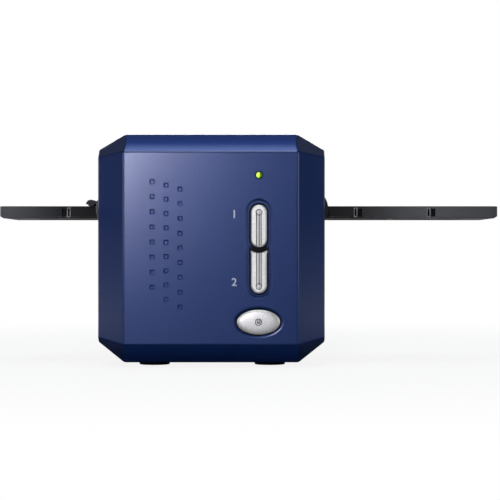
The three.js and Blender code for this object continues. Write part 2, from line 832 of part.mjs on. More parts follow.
function dustDoor() {
  const ribLow = holderTop + seatGap - hingeZ;
  const ribEnd = doorRibStart + doorRibWidth;
  const tipUnder = doorCrownShares.at(-1) * doorCrown;
  const points = doorReachShares.map((share, i) => [-share * doorReach, doorCrownShares[i] * doorCrown]);
  points.push([-ribEnd, tipUnder]);
  points.push([-ribEnd, ribLow]);
  points.push([-doorRibStart, ribLow]);
  points.push([-doorRibStart, doorUnderShare * doorCrown]);
  points.push([0, doorUnderShare * doorCrown]);
  const ys = grown(mouthYs, -runGap);
  const springGap = block(
    [-doorBarrelRadius - runGap, doorBarrelRadius + overrun],
    span(filmY, doorSpringLength + 2 * runGap),
    grown([-doorBarrelRadius, doorBarrelRadius], overrun),
  );
  return cut(
    joined(prismAlongY(outline(points), ys), rodAlongY(doorBarrelRadius, ys, 0, 0, smallSides)),
    rodAlongY(doorPinRadius + pinGap, grown(ys, overrun), 0, 0, smallSides),
    springGap,
  );
}

function doorSpring() {
  const ys = span(filmY, doorSpringLength);
  const inner = doorPinRadius + pinGap;
  return cut(
    rodAlongY(inner + doorSpringThickness, ys, 0, 0, smallSides),
    rodAlongY(inner, grown(ys, overrun), 0, 0, smallSides),
  );
}

function addSlots(scanner) {
  for (const [name, side] of [["left", -1], ["right", 1]]) {
    place(scanner, "slot_frame_" + name, slotFrame(side), "charcoalPlastic");
    const hinge = new THREE.Group();
    hinge.position.set(side * hingeX, 0, hingeZ);
    scanner.add(hinge);
    place(hinge, name + "_dust_door", dustDoor(), "blackPlastic");
    place(hinge, name + "_door_pin", rodAlongY(doorPinRadius, doorPinYs, 0, 0, smallSides), "steel");
    place(hinge, name + "_door_spring", doorSpring(), "steel");
  }
}

// Film holder: a base with a notched front wall, a lid, its hinge pin and the film strip
const holderHalf = holderLength / 2;
const holderPinY = holderDepth / 2 - holderPinInset;
const holderPinZ = holderFloor + runGap / 2;
const lidFrontY = -holderDepth / 2 + holderFrontWall + runGap;

function frameCentres() {
  const centres = [];
  for (let i = 0; i < frameCount; i += 1) centres.push((i - (frameCount - 1) / 2) * framePitch);
  return centres;
}

function holderPlan() {
  const x = holderHalf;
  const y = holderDepth / 2;
  const r = holderEndRadius;
  const shape = new THREE.Shape();
  shape.absarc(x - r, y - r, r, 0, Math.PI / 2, false);
  shape.absarc(r - x, y - r, r, Math.PI / 2, Math.PI, false);
  shape.absarc(r - x, r - y, r, Math.PI, Math.PI * 1.5, false);
  shape.absarc(x - r, r - y, r, Math.PI * 1.5, Math.PI * 2, false);
  return shape;
}

function windows(zs) {
  return frameCentres().map((x) => block(span(x, frameLength), span(0, frameHeight), grown(zs, overrun)));
}

function notches() {
  const ys = [-holderDepth / 2 - overrun, -holderDepth / 2 + notchDepth];
  const zs = [notchRise, notchRise + notchHeight];
  const cuts = [];
  for (const x of frameCentres()) {
    const outward = Math.sign(x);
    const slotMiddle = x + outward * (notchSlotStart + notchSlotWidth / 2);
    const pocketMiddle = x + outward * (notchPocketStart + notchPocketWidth / 2);
    cuts.push(block(span(slotMiddle, notchSlotWidth), ys, zs));
    cuts.push(block(span(pocketMiddle, notchPocketWidth), ys, zs));
  }
  return cuts;
}

function endCuts() {
  const cuts = [];
  for (const side of [-1, 1]) {
    const points = [
      [side * (holderHalf - holderEndCutLength), 0],
      [side * holderHalf, holderEndCutHeight],
      [side * (holderHalf + overrun), holderEndCutHeight],
      [side * (holderHalf + overrun), -overrun],
      [side * (holderHalf - holderEndCutLength), -overrun],
    ];
    cuts.push(prismAlongY(outline(points), span(0, holderDepth + overrun)));
  }
  return cuts;
}

function pinGroove() {
  const xs = span(0, holderLength - holderPinShortfall + 2 * pinGap);
  return rodAlongX(holderPinRadius + pinGap, xs, holderPinY, holderPinZ, smallSides);
}

function holderBase() {
  const plan = prismAlongZ(holderPlan(), [0, holderThickness]);
  const behindWall = block(
    span(0, holderLength + overrun),
    [lidFrontY - runGap, holderDepth / 2 + overrun],
    [holderFloor, holderThickness + overrun],
  );
  const channelLength = framePitch * frameCount + 2 * runGap;
  const channel = block(
    span(0, channelLength),
    span(0, filmWidth + 2 * runGap),
    [holderFloor - filmChannelDepth, holderThickness],
  );
  const openings = windows([0, holderFloor]);
  return cut(plan, behindWall, channel, pinGroove(), ...openings, ...notches(), ...endCuts());
}

function holderLid() {
  const zs = [holderFloor + runGap, holderThickness];
  const keep = block(span(0, holderLength + overrun), [lidFrontY, holderDepth / 2 + overrun], zs);
  const plan = prismAlongZ(holderPlan(), zs).intersect(keep);
  return cut(plan, pinGroove(), ...windows(zs));
}

function addHolder(scanner) {
  const holder = new THREE.Group();
  holder.position.set(framePitch / 2, filmY, holderBottom);
  scanner.add(holder);
  place(holder, "holder_base", holderBase(), "charcoalPlastic");
  place(holder, "holder_lid", holderLid(), "blackPlastic");
  const pinXs = span(0, holderLength - holderPinShortfall);
  const pin = rodAlongX(holderPinRadius, pinXs, holderPinY, holderPinZ, smallSides);
  place(holder, "holder_hinge_pin", pin, "steel");
  const filmZ = holderFloor - filmChannelDepth + pinGap;
  const film = block(span(0, framePitch * frameCount), span(0, filmWidth), [filmZ, filmZ + filmThickness]);
  place(holder, "film_strip", film, "film");
}

// Film track with its two rails, and the click spring that holds the holder at each frame
const clickNoseX = -(notchPocketStart + notchPocketWidth / 2);
const springBackY = holderFrontY - runGap - clickSpringPocket + seatGap;

function filmTrack() {
  const ys = [trackFront, trackRear];
  const plate = block(span(0, trackLength), ys, [trackBottom, trackTop]);
  const railZs = [trackBottom, trackTop + trackRailHeight];
  const frontRail = block(span(0, trackLength), [trackFront, trackFront + trackRailWidth], railZs);
  const rearRail = block(span(0, trackLength), [trackRear - trackRailWidth, trackRear], railZs);
  const scanWindow = block(
    span(0, frameLength + 2 * scanWindowMargin),
    span(filmY, frameHeight + 2 * scanWindowMargin),
    grown([trackBottom, trackTop], overrun),
  );
  const springPocket = block(
    span(clickNoseX, 2 * clickSpringHalfLength + 2 * runGap),
    [holderFrontY - runGap - clickSpringPocket, holderFrontY],
    [trackTop, trackTop + trackRailHeight + overrun],
  );
  return cut(joined(plate, frontRail, rearRail), scanWindow, springPocket);
}

function clickSpring() {
  const t = clickSpringThickness;
  const noseY = holderFrontY + clickNoseReach;
  const points = [
    [-clickSpringHalfLength, springBackY],
    [clickSpringHalfLength, springBackY],
    [clickSpringHalfLength, springBackY + t],
    [clickNoseSpread, springBackY + t],
    [clickNoseHalfWidth, holderFrontY - runGap],
    [clickNoseHalfWidth / 2, noseY],
    [-clickNoseHalfWidth / 2, noseY],
    [-clickNoseHalfWidth, holderFrontY - runGap],
    [-clickNoseSpread, springBackY + t],
    [-clickSpringHalfLength, springBackY + t],
  ];
  const z = holderBottom + notchRise + (notchHeight - clickSpringHeight) / 2;
  return prismAlongZ(outline(points), [z, z + clickSpringHeight]);
}

function addTrack(scanner) {
  place(scanner, "film_track", filmTrack(), "blackPlastic");
  place(scanner, "click_spring", clickSpring(), "steel", clickNoseX);
}

// Chassis: one folded sheet of steel with a floor, two uprights, two side walls and board pillars
const boardPillars = [
  [-mainBoardHalfWidth + 2 * standoffRadius, mainBoardFront + 2 * standoffRadius],
  [mainBoardHalfWidth - 2 * standoffRadius, mainBoardFront + 2 * standoffRadius],
  [-mainBoardHalfWidth + 2 * standoffRadius, mainBoardRear - 2 * standoffRadius],
  [mainBoardHalfWidth - 2 * standoffRadius, mainBoardRear - 2 * standoffRadius],
];

function cablePassage(ys) {
  const zs = [chassisFloor + sheet + seatGap, chassisFloor + cableWindowHeight];
  return block(span(ribbonX, cableWindowWidth), grown(ys, overrun), zs);
}

function chassis() {
  const wallTop = trackBottom - seatGap;
  const xs = span(0, 2 * chassisHalfWidth);
  const floor = block(xs, [chassisFront, chassisRear], [chassisBottom, chassisFloor]);
  const frontUpright = block(xs, [chassisFront, chassisFront + sheet], [chassisBottom, wallTop]);
  const uprightYs = [rearUprightY - sheet, rearUprightY];
  const rearUpright = block(xs, uprightYs, [chassisBottom, chassisFloor + rearUprightHeight]);
  const sideYs = [chassisFront, trackRear];
  const sides = [-1, 1].map((side) =>
    block(span(side * (chassisHalfWidth - sheet / 2), sheet), sideYs, [chassisBottom, wallTop]),
  );
  const pillars = boardPillars.map(([x, y]) =>
    rodAlongZ(standoffRadius, [chassisBottom, mainBoardBottom - seatGap], x, y, smallSides),
  );
  const bores = [-driveX, driveX].map((x) =>
    rodAlongY(rodRadius + pinGap, [chassisFront - overrun, rearUprightY + overrun], x, driveZ),
  );
  const folded = joined(floor, frontUpright, rearUpright, ...sides, ...pillars);
  return cut(folded, cablePassage(uprightYs), ...bores);
}

// Drive: lead screw with its gear, and the motor's pinion. Tooth corners lie on the involute.
function involute(angle) {
  return Math.tan(angle) - angle;
}

function gearShape(teeth) {
  const pitchRadius = gearModule * teeth / 2;
  const baseRadius = pitchRadius * Math.cos(pressureAngle);
  const tipRadius = pitchRadius + addendumShare * gearModule;
  const rootRadius = pitchRadius - dedendumShare * gearModule;
  const halfAtPitch = Math.PI / (2 * teeth) - gearBacklash / (4 * pitchRadius);
  const halfAt = (radius) => {
    const angle = Math.acos(Math.min(1, baseRadius / Math.max(radius, baseRadius)));
    return halfAtPitch + involute(pressureAngle) - involute(angle);
  };
  const points = [];
  for (let tooth = 0; tooth < teeth; tooth += 1) {
    const middle = 2 * Math.PI * tooth / teeth;
    const corners = [
      [rootRadius, -halfAt(rootRadius)],
      [tipRadius, -halfAt(tipRadius)],
      [tipRadius, halfAt(tipRadius)],
      [rootRadius, halfAt(rootRadius)],
    ];
    for (const [radius, angle] of corners) {
      points.push([radius * Math.cos(middle + angle), radius * Math.sin(middle + angle)]);
    }
  }
  return outline(points);
}

function motorPinion() {
  const pinion = prismAlongY(gearShape(pinionTeeth), [gearFront, gearRear]);
  const shaft = rodAlongY(motorShaftRadius, [gearFront, motorFront + motorShaftDepth], 0, 0, smallSides);
  return joined(pinion, shaft);
}

function motorBracket() {
  const halfWidth = motorRadius + motorPlateMargin;
  const footTop = chassisFloor + seatGap + sheet;
  const plate = block(
    span(0, 2 * halfWidth),
    [motorPlateFront, motorPlateRear],
    [chassisFloor + seatGap, driveZ + halfWidth],
  );
  const foot = block(span(0, 2 * halfWidth), [gearFront, motorPlateRear], [chassisFloor + seatGap, footTop]);
  const plateYs = [motorPlateFront, motorPlateRear];
  const shaftHole = rodAlongY(motorShaftRadius + runGap, grown(plateYs, overrun), 0, driveZ);
  const passage = cablePassage(plateYs).translate([-motorX, 0, 0]);
  return cut(joined(plate, foot), shaftHole, passage);
}

function addDrive(scanner) {
  const rodYs = [chassisFront - sheet / 2, rearUprightY + sheet];
  place(scanner, "guide_rod", rodAlongY(rodRadius, rodYs), "steel", -driveX, 0, driveZ);
  const screwYs = [chassisFront - sheet / 2, gearRear + pinGap];
  place(scanner, "lead_screw", rodAlongY(rodRadius, screwYs), "steel", driveX, 0, driveZ);
  const bore = rodAlongY(rodRadius + pinGap, [gearFront - overrun, gearRear + overrun]);
  const gear = cut(prismAlongY(gearShape(gearTeeth), [gearFront, gearRear]), bore);
  const gearMesh = place(scanner, "screw_gear", gear, "gearPlastic", driveX, 0, driveZ);
  gearMesh.rotation.y = Math.PI / gearTeeth;
  place(scanner, "motor_pinion", motorPinion(), "brass", motorX, 0, driveZ);
  place(scanner, "motor_bracket", motorBracket(), "steel", motorX);
  const motorYs = [motorFront, motorFront + motorLength];
  const boreYs = [motorFront - overrun, motorFront + motorShaftDepth + runGap];
  const shaftBore = rodAlongY(motorShaftRadius + pinGap, boreYs, 0, 0, smallSides);
  const motor = cut(rodAlongY(motorRadius, motorYs), shaftBore);
  place(scanner, "stepper_motor", motor, "steel", motorX, 0, driveZ);
}

// Scanning carriage: the optics box runs on the guide rod and carries the lamp over the film
const opticsTop = opticsBottom + opticsHeight;
const opticsYs = [-opticsFront, opticsLength - opticsFront];
const coverZs = [opticsTop + seatGap, opticsTop + seatGap + coverThickness];
const lugOuter = driveX + rodRadius + bushingWall + opticsWall;
const bushingRadius = rodRadius + pinGap + bushingWall;

function lug(side, middle, length) {
  const low = Math.min(side * (opticsHalfWidth - opticsWall), side * lugOuter);
  const high = Math.max(side * (opticsHalfWidth - opticsWall), side * lugOuter);
  return block([low, high], span(middle, length), span(driveZ, lugHeight));
}

function opticsHousing() {
  const shell = cut(
    block(span(0, 2 * opticsHalfWidth), opticsYs, [opticsBottom, opticsTop]),
    block(
      span(0, 2 * (opticsHalfWidth - opticsWall)),
      [opticsYs[0] + opticsWall, opticsYs[1] + overrun],
      [opticsBottom + opticsWall, opticsTop + overrun],
    ),
  );
  const lensHolder = cut(
    block(span(0, 2 * opticsHalfWidth), span(lensMiddle, lensWall), [opticsBottom, opticsTop]),
    rodAlongY(lensRadius + seatGap, span(lensMiddle, lensWall + overrun), 0, opticalAxisZ),
  );
  const bores = [
    rodAlongY(bushingRadius + pinGap, span(frontBushingY, bushingLength + overrun), -driveX, driveZ),
    rodAlongY(bushingRadius + pinGap, span(rearBushingY, bushingLength + overrun), -driveX, driveZ),
    rodAlongY(bushingRadius + pinGap, span(nutMiddle, nutLength + overrun), driveX, driveZ),
  ];
  const lugs = [
    lug(-1, frontBushingY, bushingLength),
    lug(-1, rearBushingY, bushingLength),
    lug(1, nutMiddle, nutLength - 2 * nutFlangeThickness),
  ];
  return cut(joined(shell, lensHolder, ...lugs), ...bores);
}

function bushing() {
  const ys = span(0, bushingLength);
  return cut(rodAlongY(bushingRadius, ys), rodAlongY(rodRadius + pinGap, grown(ys, overrun)));
}

function driveNut() {
  const ys = span(0, nutLength);
  const flange = rodAlongY(nutFlangeRadius, [ys[1] - nutFlangeThickness + seatGap, ys[1]]);
  return cut(joined(rodAlongY(bushingRadius, ys), flange), rodAlongY(rodRadius + pinGap, grown(ys, overrun)));
}

function opticsCover() {
  const cover = block(span(0, 2 * opticsHalfWidth), opticsYs, coverZs);
  return cut(cover, block(span(0, scanLineLength), span(0, slitWidth), grown(coverZs, overrun)));
}

function lampArm() {
  const columnYs = [lampColumnBack - lampColumnDepth, lampColumnBack];
  const topZ = lampBeamBottom + lampBeamThickness;
  const column = block(span(0, 2 * lampHalfWidth), columnYs, [coverZs[1] + seatGap, topZ]);
  const beam = block(span(0, 2 * lampHalfWidth), [-lampBeamFront, lampColumnBack], [lampBeamBottom, topZ]);
  return joined(column, beam);
}

function addCarriage(scanner) {
  const carriage = new THREE.Group();
  carriage.position.set(0, scanRestY, 0);
  scanner.add(carriage);
  place(carriage, "optics_housing", opticsHousing(), "blackPlastic");
  place(carriage, "optics_cover", opticsCover(), "steel");
  place(carriage, "front_bushing", bushing(), "brass", -driveX, frontBushingY, driveZ);
  place(carriage, "rear_bushing", bushing(), "brass", -driveX, rearBushingY, driveZ);
  place(carriage, "drive_nut", driveNut(), "brass", driveX, nutMiddle, driveZ);

  const mirrorXs = span(0, 2 * (opticsHalfWidth - opticsWall - runGap));
  const mirror = block(mirrorXs, span(0, mirrorHeight), span(0, mirrorThickness));
  place(carriage, "scan_mirror", mirror, "mirror", 0, 0, opticalAxisZ).rotation.x = -Math.PI / 4;
  const lensYs = span(0, lensLength);
  const lensBore = rodAlongY(lensRadius / 2, [lensYs[0] - overrun, lensYs[0] + lensLength / 4]);
  const lens = cut(rodAlongY(lensRadius, lensYs), lensBore);
  place(carriage, "lens_barrel", lens, "blackPlastic", 0, lensMiddle, opticalAxisZ);

  const boardFront = opticsYs[1] + seatGap;
  const boardXs = span(0, 2 * (opticsHalfWidth - seatGap));
  const sensorBoard = block(boardXs, [boardFront, boardFront + boardThickness], [opticsBottom, opticsTop]);
  place(carriage, "sensor_board", sensorBoard, "board");
  const sensorYs = [boardFront - seatGap - sensorThickness, boardFront - seatGap];
  const sensor = block(span(0, scanLineLength), sensorYs, span(opticalAxisZ, sensorHeight));
  place(carriage, "image_sensor", sensor, "chip");

  place(carriage, "lamp_arm", lampArm(), "blackPlastic");
  const diffuserZs = [lampBeamBottom - seatGap - diffuserThickness, lampBeamBottom - seatGap];
  const diffuser = block(span(0, scanLineLength), span(0, diffuserDepth), diffuserZs);
  place(carriage, "lamp_diffuser", diffuser, "diffuser");
}

// Main board, its chip, the two sockets in the rear panel and the flat cable to the carriage
function usbSocket() {
  const ys = [-usbSocketLength, 0];
  const shell = block(span(0, usbSocketWidth), ys, [0, usbSocketHeight]);
  const middle = usbSocketHeight / 2;
  const mouth = block(span(0, usbMouthWidth), [-usbMouthDepth, overrun], span(middle, usbMouthHeight));
  const tongueYs = [-usbMouthDepth - overrun, -seatGap];
  const tongue = block(span(0, usbTongueWidth), tongueYs, span(middle, usbTongueHeight));
  return joined(cut(shell, mouth), tongue);
}

function powerSocket() {
  const ys = [-powerSocketLength, 0];
  const shell = block(span(0, powerSocketWidth), ys, [0, powerSocketHeight]);
  const middle = powerSocketHeight / 2;
  const bore = rodAlongY(powerBoreRadius, [-powerBoreDepth, overrun], 0, middle);
  const pin = rodAlongY(powerPinRadius, [-powerBoreDepth - overrun, -overrun], 0, middle, smallSides);
  return joined(cut(shell, bore), pin);
}

// The cable leaves the sensor board, bends down, and runs along to the front edge of the main board.
function ribbonCable() {
  const startY = scanRestY + opticsYs[1] + boardThickness + 2 * seatGap;
  const endY = mainBoardFront - seatGap;
  const endZ = mainBoardBottom + boardThickness / 2;
  const inner = ribbonBend - ribbonThickness / 2;
  const outer = ribbonBend + ribbonThickness / 2;
  const downY = startY + 2 * ribbonBend;
  const half = ribbonThickness / 2;
  const shape = new THREE.Shape();
  shape.moveTo(startY, ribbonStartZ + half);
  shape.absarc(downY - ribbonBend, ribbonStartZ - ribbonBend, outer, Math.PI / 2, 0, true);
  shape.absarc(downY + ribbonBend, endZ + ribbonBend, inner, Math.PI, Math.PI * 1.5, false);
  shape.lineTo(endY, endZ + half);
  shape.lineTo(endY, endZ - half);
  shape.absarc(downY + ribbonBend, endZ + ribbonBend, outer, Math.PI * 1.5, Math.PI, true);
  shape.absarc(downY - ribbonBend, ribbonStartZ - ribbonBend, inner, 0, Math.PI / 2, false);
  shape.lineTo(startY, ribbonStartZ - half);
  return prismAlongX(shape, span(ribbonX, ribbonWidth));
}

function addElectronics(scanner) {
  const boardXs = span(0, 2 * mainBoardHalfWidth);
  const board = block(boardXs, [mainBoardFront, mainBoardRear], [mainBoardBottom, mainBoardTop]);
  place(scanner, "main_board", board, "board");
  const chipY = (mainBoardFront + mainBoardRear) / 2;
  const chip = block(span(0, chipSize), span(0, chipSize), [0, chipThickness]);
  place(scanner, "processor_chip", chip, "chip", 0, chipY, mainBoardTop + seatGap);
  const socketY = rearY - pinGap;
  const socketZ = mainBoardTop + seatGap;
  place(scanner, "usb_socket", usbSocket(), "steel", usbX, socketY, socketZ);
  place(scanner, "power_socket", powerSocket(), "blackPlastic", powerX, socketY, socketZ);
  place(scanner, "ribbon_cable", ribbonCable(), "flatCable");
}

const negativeScanner = new THREE.Group();
const scanner = new THREE.Group();
scanner.position.x = -framePitch / 2;
negativeScanner.add(scanner);
addFrontPanel(scanner);
addCase(scanner);
addSlots(scanner);
addHolder(scanner);
addTrack(scanner);
place(scanner, "chassis", chassis(), "steel");
addDrive(scanner);
addCarriage(scanner);
addElectronics(scanner);

export default negativeScanner;
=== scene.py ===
import json
import math

import bmesh
import bpy
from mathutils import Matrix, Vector


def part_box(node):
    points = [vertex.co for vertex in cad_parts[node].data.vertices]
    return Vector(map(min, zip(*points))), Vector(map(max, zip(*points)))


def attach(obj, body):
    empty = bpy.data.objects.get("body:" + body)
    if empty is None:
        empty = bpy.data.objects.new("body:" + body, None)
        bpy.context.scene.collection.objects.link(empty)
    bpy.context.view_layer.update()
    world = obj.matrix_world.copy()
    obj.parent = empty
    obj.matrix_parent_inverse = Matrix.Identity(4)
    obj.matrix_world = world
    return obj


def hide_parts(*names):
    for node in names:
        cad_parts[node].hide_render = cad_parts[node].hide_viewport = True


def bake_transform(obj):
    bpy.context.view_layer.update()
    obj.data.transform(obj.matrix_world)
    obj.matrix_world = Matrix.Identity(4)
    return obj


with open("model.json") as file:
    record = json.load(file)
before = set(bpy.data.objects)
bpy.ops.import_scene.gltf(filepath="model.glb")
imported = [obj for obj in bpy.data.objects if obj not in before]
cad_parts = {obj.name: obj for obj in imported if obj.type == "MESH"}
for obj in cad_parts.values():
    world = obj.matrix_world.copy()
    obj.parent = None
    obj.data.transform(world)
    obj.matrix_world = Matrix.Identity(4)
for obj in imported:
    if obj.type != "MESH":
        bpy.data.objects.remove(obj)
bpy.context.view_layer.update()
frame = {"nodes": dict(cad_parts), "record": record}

# The camera stands 0.9 m before the front face, level with the middle of the picture
# and half a film frame to the right of the case's middle, looking straight along +Y.
camera_data = bpy.data.cameras.new("camera")
camera_data.sensor_width = 36
camera_data.lens = 129.24
camera_data.clip_start = 0.05
camera = bpy.data.objects.new("camera", camera_data)
camera.location = (0.0007, -1.0352, 0.0595)
camera.rotation_euler = (math.radians(90), 0, 0)
bpy.context.scene.collection.objects.link(camera)
bpy.context.scene.camera = camera
bpy.context.scene.view_settings.view_transform = "Standard"

# The floor is a sheet of white card that curves up behind the scanner.
# Far from the scanner it shows as plain white, and near it it keeps the soft shadow.
CARD_WIDTH = 9.0
CARD_FRONT, CARD_REAR = -5.0, 3.2
CARD_RISE = 1.7
CARD_BEND = 0.7
CARD_BOUNCE = 0.95
SHADOW_REACH = (0.15, 0.5)
SHADOW_WHITE = 0.88
MIRRORED_DEPTH = (-0.5, 0.3)
MIRRORED_REACH = (0.7, 1.7)
MIRRORED_FAR = 0.15


def clear_selection():
    if bpy.context.object is not None and bpy.context.object.mode != "OBJECT":
        bpy.ops.object.mode_set(mode="OBJECT")
    bpy.ops.object.select_all(action="DESELECT")


def activate(piece):
    clear_selection()
    piece.select_set(True)
    bpy.context.view_layer.objects.active = piece


def edit(piece, kind="FACE", test=None):
    """Edit mode on one piece, with those faces, edges or corners selected that pass the test.
    The test is given the middle, and the normal, or for an edge the way from end to end."""
    activate(piece)
    bpy.ops.object.mode_set(mode="EDIT")
    bpy.ops.mesh.select_mode(type=kind)
    bpy.ops.mesh.select_all(action="SELECT" if test is None else "DESELECT")
    if test is not None:
        mesh = bmesh.from_edit_mesh(piece.data)
        for part in {"FACE": mesh.faces, "EDGE": mesh.edges, "VERT": mesh.verts}[kind]:
            corners = [part] if kind == "VERT" else part.verts
            middle = sum((v.co for v in corners), Vector()) / len(corners)
            way = part.normal if kind != "EDGE" else part.verts[1].co - part.verts[0].co
            part.select_set(bool(test(middle, way)))
        mesh.select_flush_mode()
        bmesh.update_edit_mesh(piece.data)


def leave_edit():
    bpy.ops.object.mode_set(mode="OBJECT")


def extrude(*way):
    bpy.ops.mesh.extrude_region_move(TRANSFORM_OT_translate={"value": way})


def bevel(offset, segments):
    bpy.ops.mesh.bevel(offset=offset, segments=segments, affect="EDGES")


def name_piece(name):
    piece = bpy.context.object
    piece.name = name
    piece.data.name = name
    bpy.ops.object.transform_apply(location=True, rotation=True, scale=True)
    return piece


def finish_modifier(piece):
    activate(piece)
    for modifier in list(piece.modifiers):
        bpy.ops.object.modifier_apply(modifier=modifier.name)


def soften(piece, width, segments=2, angle=40):
    edges = piece.modifiers.new("soft_edges", "BEVEL")
    edges.width = width
    edges.segments = segments
    edges.limit_method = "ANGLE"
    edges.angle_limit = math.radians(angle)
    finish_modifier(piece)


def smooth(piece, angle=35):
    activate(piece)
    bpy.ops.object.shade_smooth_by_angle(angle=math.radians(angle))
    even = piece.modifiers.new("flat_faces_stay_flat", "WEIGHTED_NORMAL")
    even.weight = 100
    even.keep_sharp = True
    finish_modifier(piece)


def linear(red, green, blue):
    """A colour as it is written for a screen, 0 to 255, as the linear one that shaders take."""
    shares = [c / 255 for c in (red, green, blue)]
    return [s / 12.92 if s <= 0.04045 else ((s + 0.055) / 1.055) ** 2.4 for s in shares] + [1]


def add_node(tree, kind, inputs=None, **settings):
    """A new node, its settings, and for each input a link or a plain value."""
    made = tree.nodes.new(kind)
    for setting, value in settings.items():
        setattr(made, setting, value)
    for socket, value in (inputs or {}).items():
        if isinstance(value, bpy.types.NodeSocket):
            tree.links.new(value, made.inputs[socket])
        else:
            made.inputs[socket].default_value = value
    return made


class Nodes:
    """Short ways to add nodes. All but the first give back the output that is used."""

    def __init__(self, tree):
        self.tree = tree

    def node(self, kind, inputs=None, **settings):
        return add_node(self.tree, kind, inputs, **settings)

    def math(self, operation, *values, clamp=False):
        values = dict(enumerate(values))
        return self.node("ShaderNodeMath", values, operation=operation, use_clamp=clamp).outputs[0]

    def remap(self, value, low=0.0, high=1.0, to_low=0.0, to_high=1.0):
        ends = {"From Min": low, "From Max": high, "To Min": to_low, "To Max": to_high}
        return self.node("ShaderNodeMapRange", {"Value": value, **ends}).outputs["Result"]

    def noise(self, where, scale, detail=2.0, distortion=0.0):
        shape = {"Vector": where, "Scale": scale, "Detail": detail, "Distortion": distortion}
        return self.node("ShaderNodeTexNoise", shape).outputs[0]

    def mix(self, share, first, second):
        ends = {0: share, 6: first, 7: second}
        return self.node("ShaderNodeMix", ends, data_type="RGBA").outputs[2]

    def alike(self, first, second):
        ways = {0: first, 1: second}
        return self.node("ShaderNodeVectorMath", ways, operation="DOT_PRODUCT").outputs["Value"]

    def axes(self, where):
        return self.node("ShaderNodeSeparateXYZ", {0: where}).outputs


class Finish(Nodes):
    """A material with its Principled shader."""

    def __init__(self, name, **sockets):
        self.material = bpy.data.materials.new(name)
        self.material.use_nodes = True
        super().__init__(self.material.node_tree)
        self.shader = self.tree.nodes["Principled BSDF"]
        for socket, value in sockets.items():
            self.shader.inputs[socket.replace("_", " ")].default_value = value

    def feed(self, output, socket="Base Color"):
        self.tree.links.new(output, self.shader.inputs[socket])

    def place(self, scale=1.0, turn=(0, 0, 0), centre=(0, 0, 0)):
        """Object coordinates about a centre, turned and scaled by a Mapping node."""
        where = {
            "Vector": self.node("ShaderNodeTexCoord").outputs["Object"],
            "Location": centre, "Rotation": turn, "Scale": (1 / scale,) * 3,
        }
        return self.node("ShaderNodeMapping", where, vector_type="TEXTURE").outputs["Vector"]

    def ramp(self, value, *stops):
        ramp = self.node("ShaderNodeValToRGB", {"Fac": value})
        bar = ramp.color_ramp.elements
        while len(bar) < len(stops):
            bar.new(0.5)
        for element, (position, colour) in zip(bar, stops):
            element.position = position
            element.color = linear(*colour)
        return ramp.outputs["Color"]

    def on(self, *pieces):
        for piece in pieces:
            piece.data.materials.clear()
            piece.data.materials.append(self.material)


clear_selection()
bpy.ops.mesh.primitive_plane_add(size=1, location=(0, (CARD_FRONT + CARD_REAR) / 2, 0))
card = bpy.context.object
card.scale = (CARD_WIDTH, CARD_REAR - CARD_FRONT, 1)
card = name_piece("white_card")
edit(card, "EDGE", lambda middle, _: middle.y > CARD_REAR - 0.01)
extrude(0, 0, CARD_RISE)
edit(card, "EDGE", lambda middle, _: middle.y > CARD_REAR - 0.01 and middle.z < 0.01)
bevel(CARD_BEND, 12)
leave_edit()
smooth(card, 60)

white_card = Finish("white_card", Roughness=0.9, Specular_IOR_Level=0.1)
rays = white_card.node("ShaderNodeLightPath").outputs
bounce = white_card.math("MULTIPLY_ADD", rays["Is Diffuse Ray"], CARD_BOUNCE, rays["Is Camera Ray"])
white_card.feed(white_card.mix(bounce, (0.05, 0.05, 0.055, 1), (0.8, 0.8, 0.8, 1)))
reach = white_card.node("ShaderNodeVectorMath", {0: white_card.place()}, operation="LENGTH")
reach = reach.outputs["Value"]
near = white_card.remap(reach, *SHADOW_REACH)
near.node.interpolation_type = "SMOOTHSTEP"
whiter = white_card.remap(near, 0, 1, SHADOW_WHITE)
seen = white_card.math("MULTIPLY", rays["Is Camera Ray"], whiter)
far = white_card.remap(white_card.axes(white_card.place())["Y"], *MIRRORED_DEPTH)
far = white_card.math("MULTIPLY", far, near)
far = white_card.math("MULTIPLY", far, white_card.remap(reach, *MIRRORED_REACH, 1.0, MIRRORED_FAR))
other = white_card.math("MAXIMUM", rays["Is Glossy Ray"], rays["Is Transmission Ray"])
share = white_card.math("MAXIMUM", seen, white_card.math("MULTIPLY", other, far))
glow = white_card.node("ShaderNodeEmission", {"Color": (1, 1, 1, 1), "Strength": 1.0})
layers = {0: share, 1: white_card.shader.outputs[0], 2: glow.outputs[0]}
mixed = white_card.node("ShaderNodeMixShader", layers).outputs[0]
white_card.tree.links.new(mixed, white_card.tree.nodes["Material Output"].inputs["Surface"])
white_card.on(card)

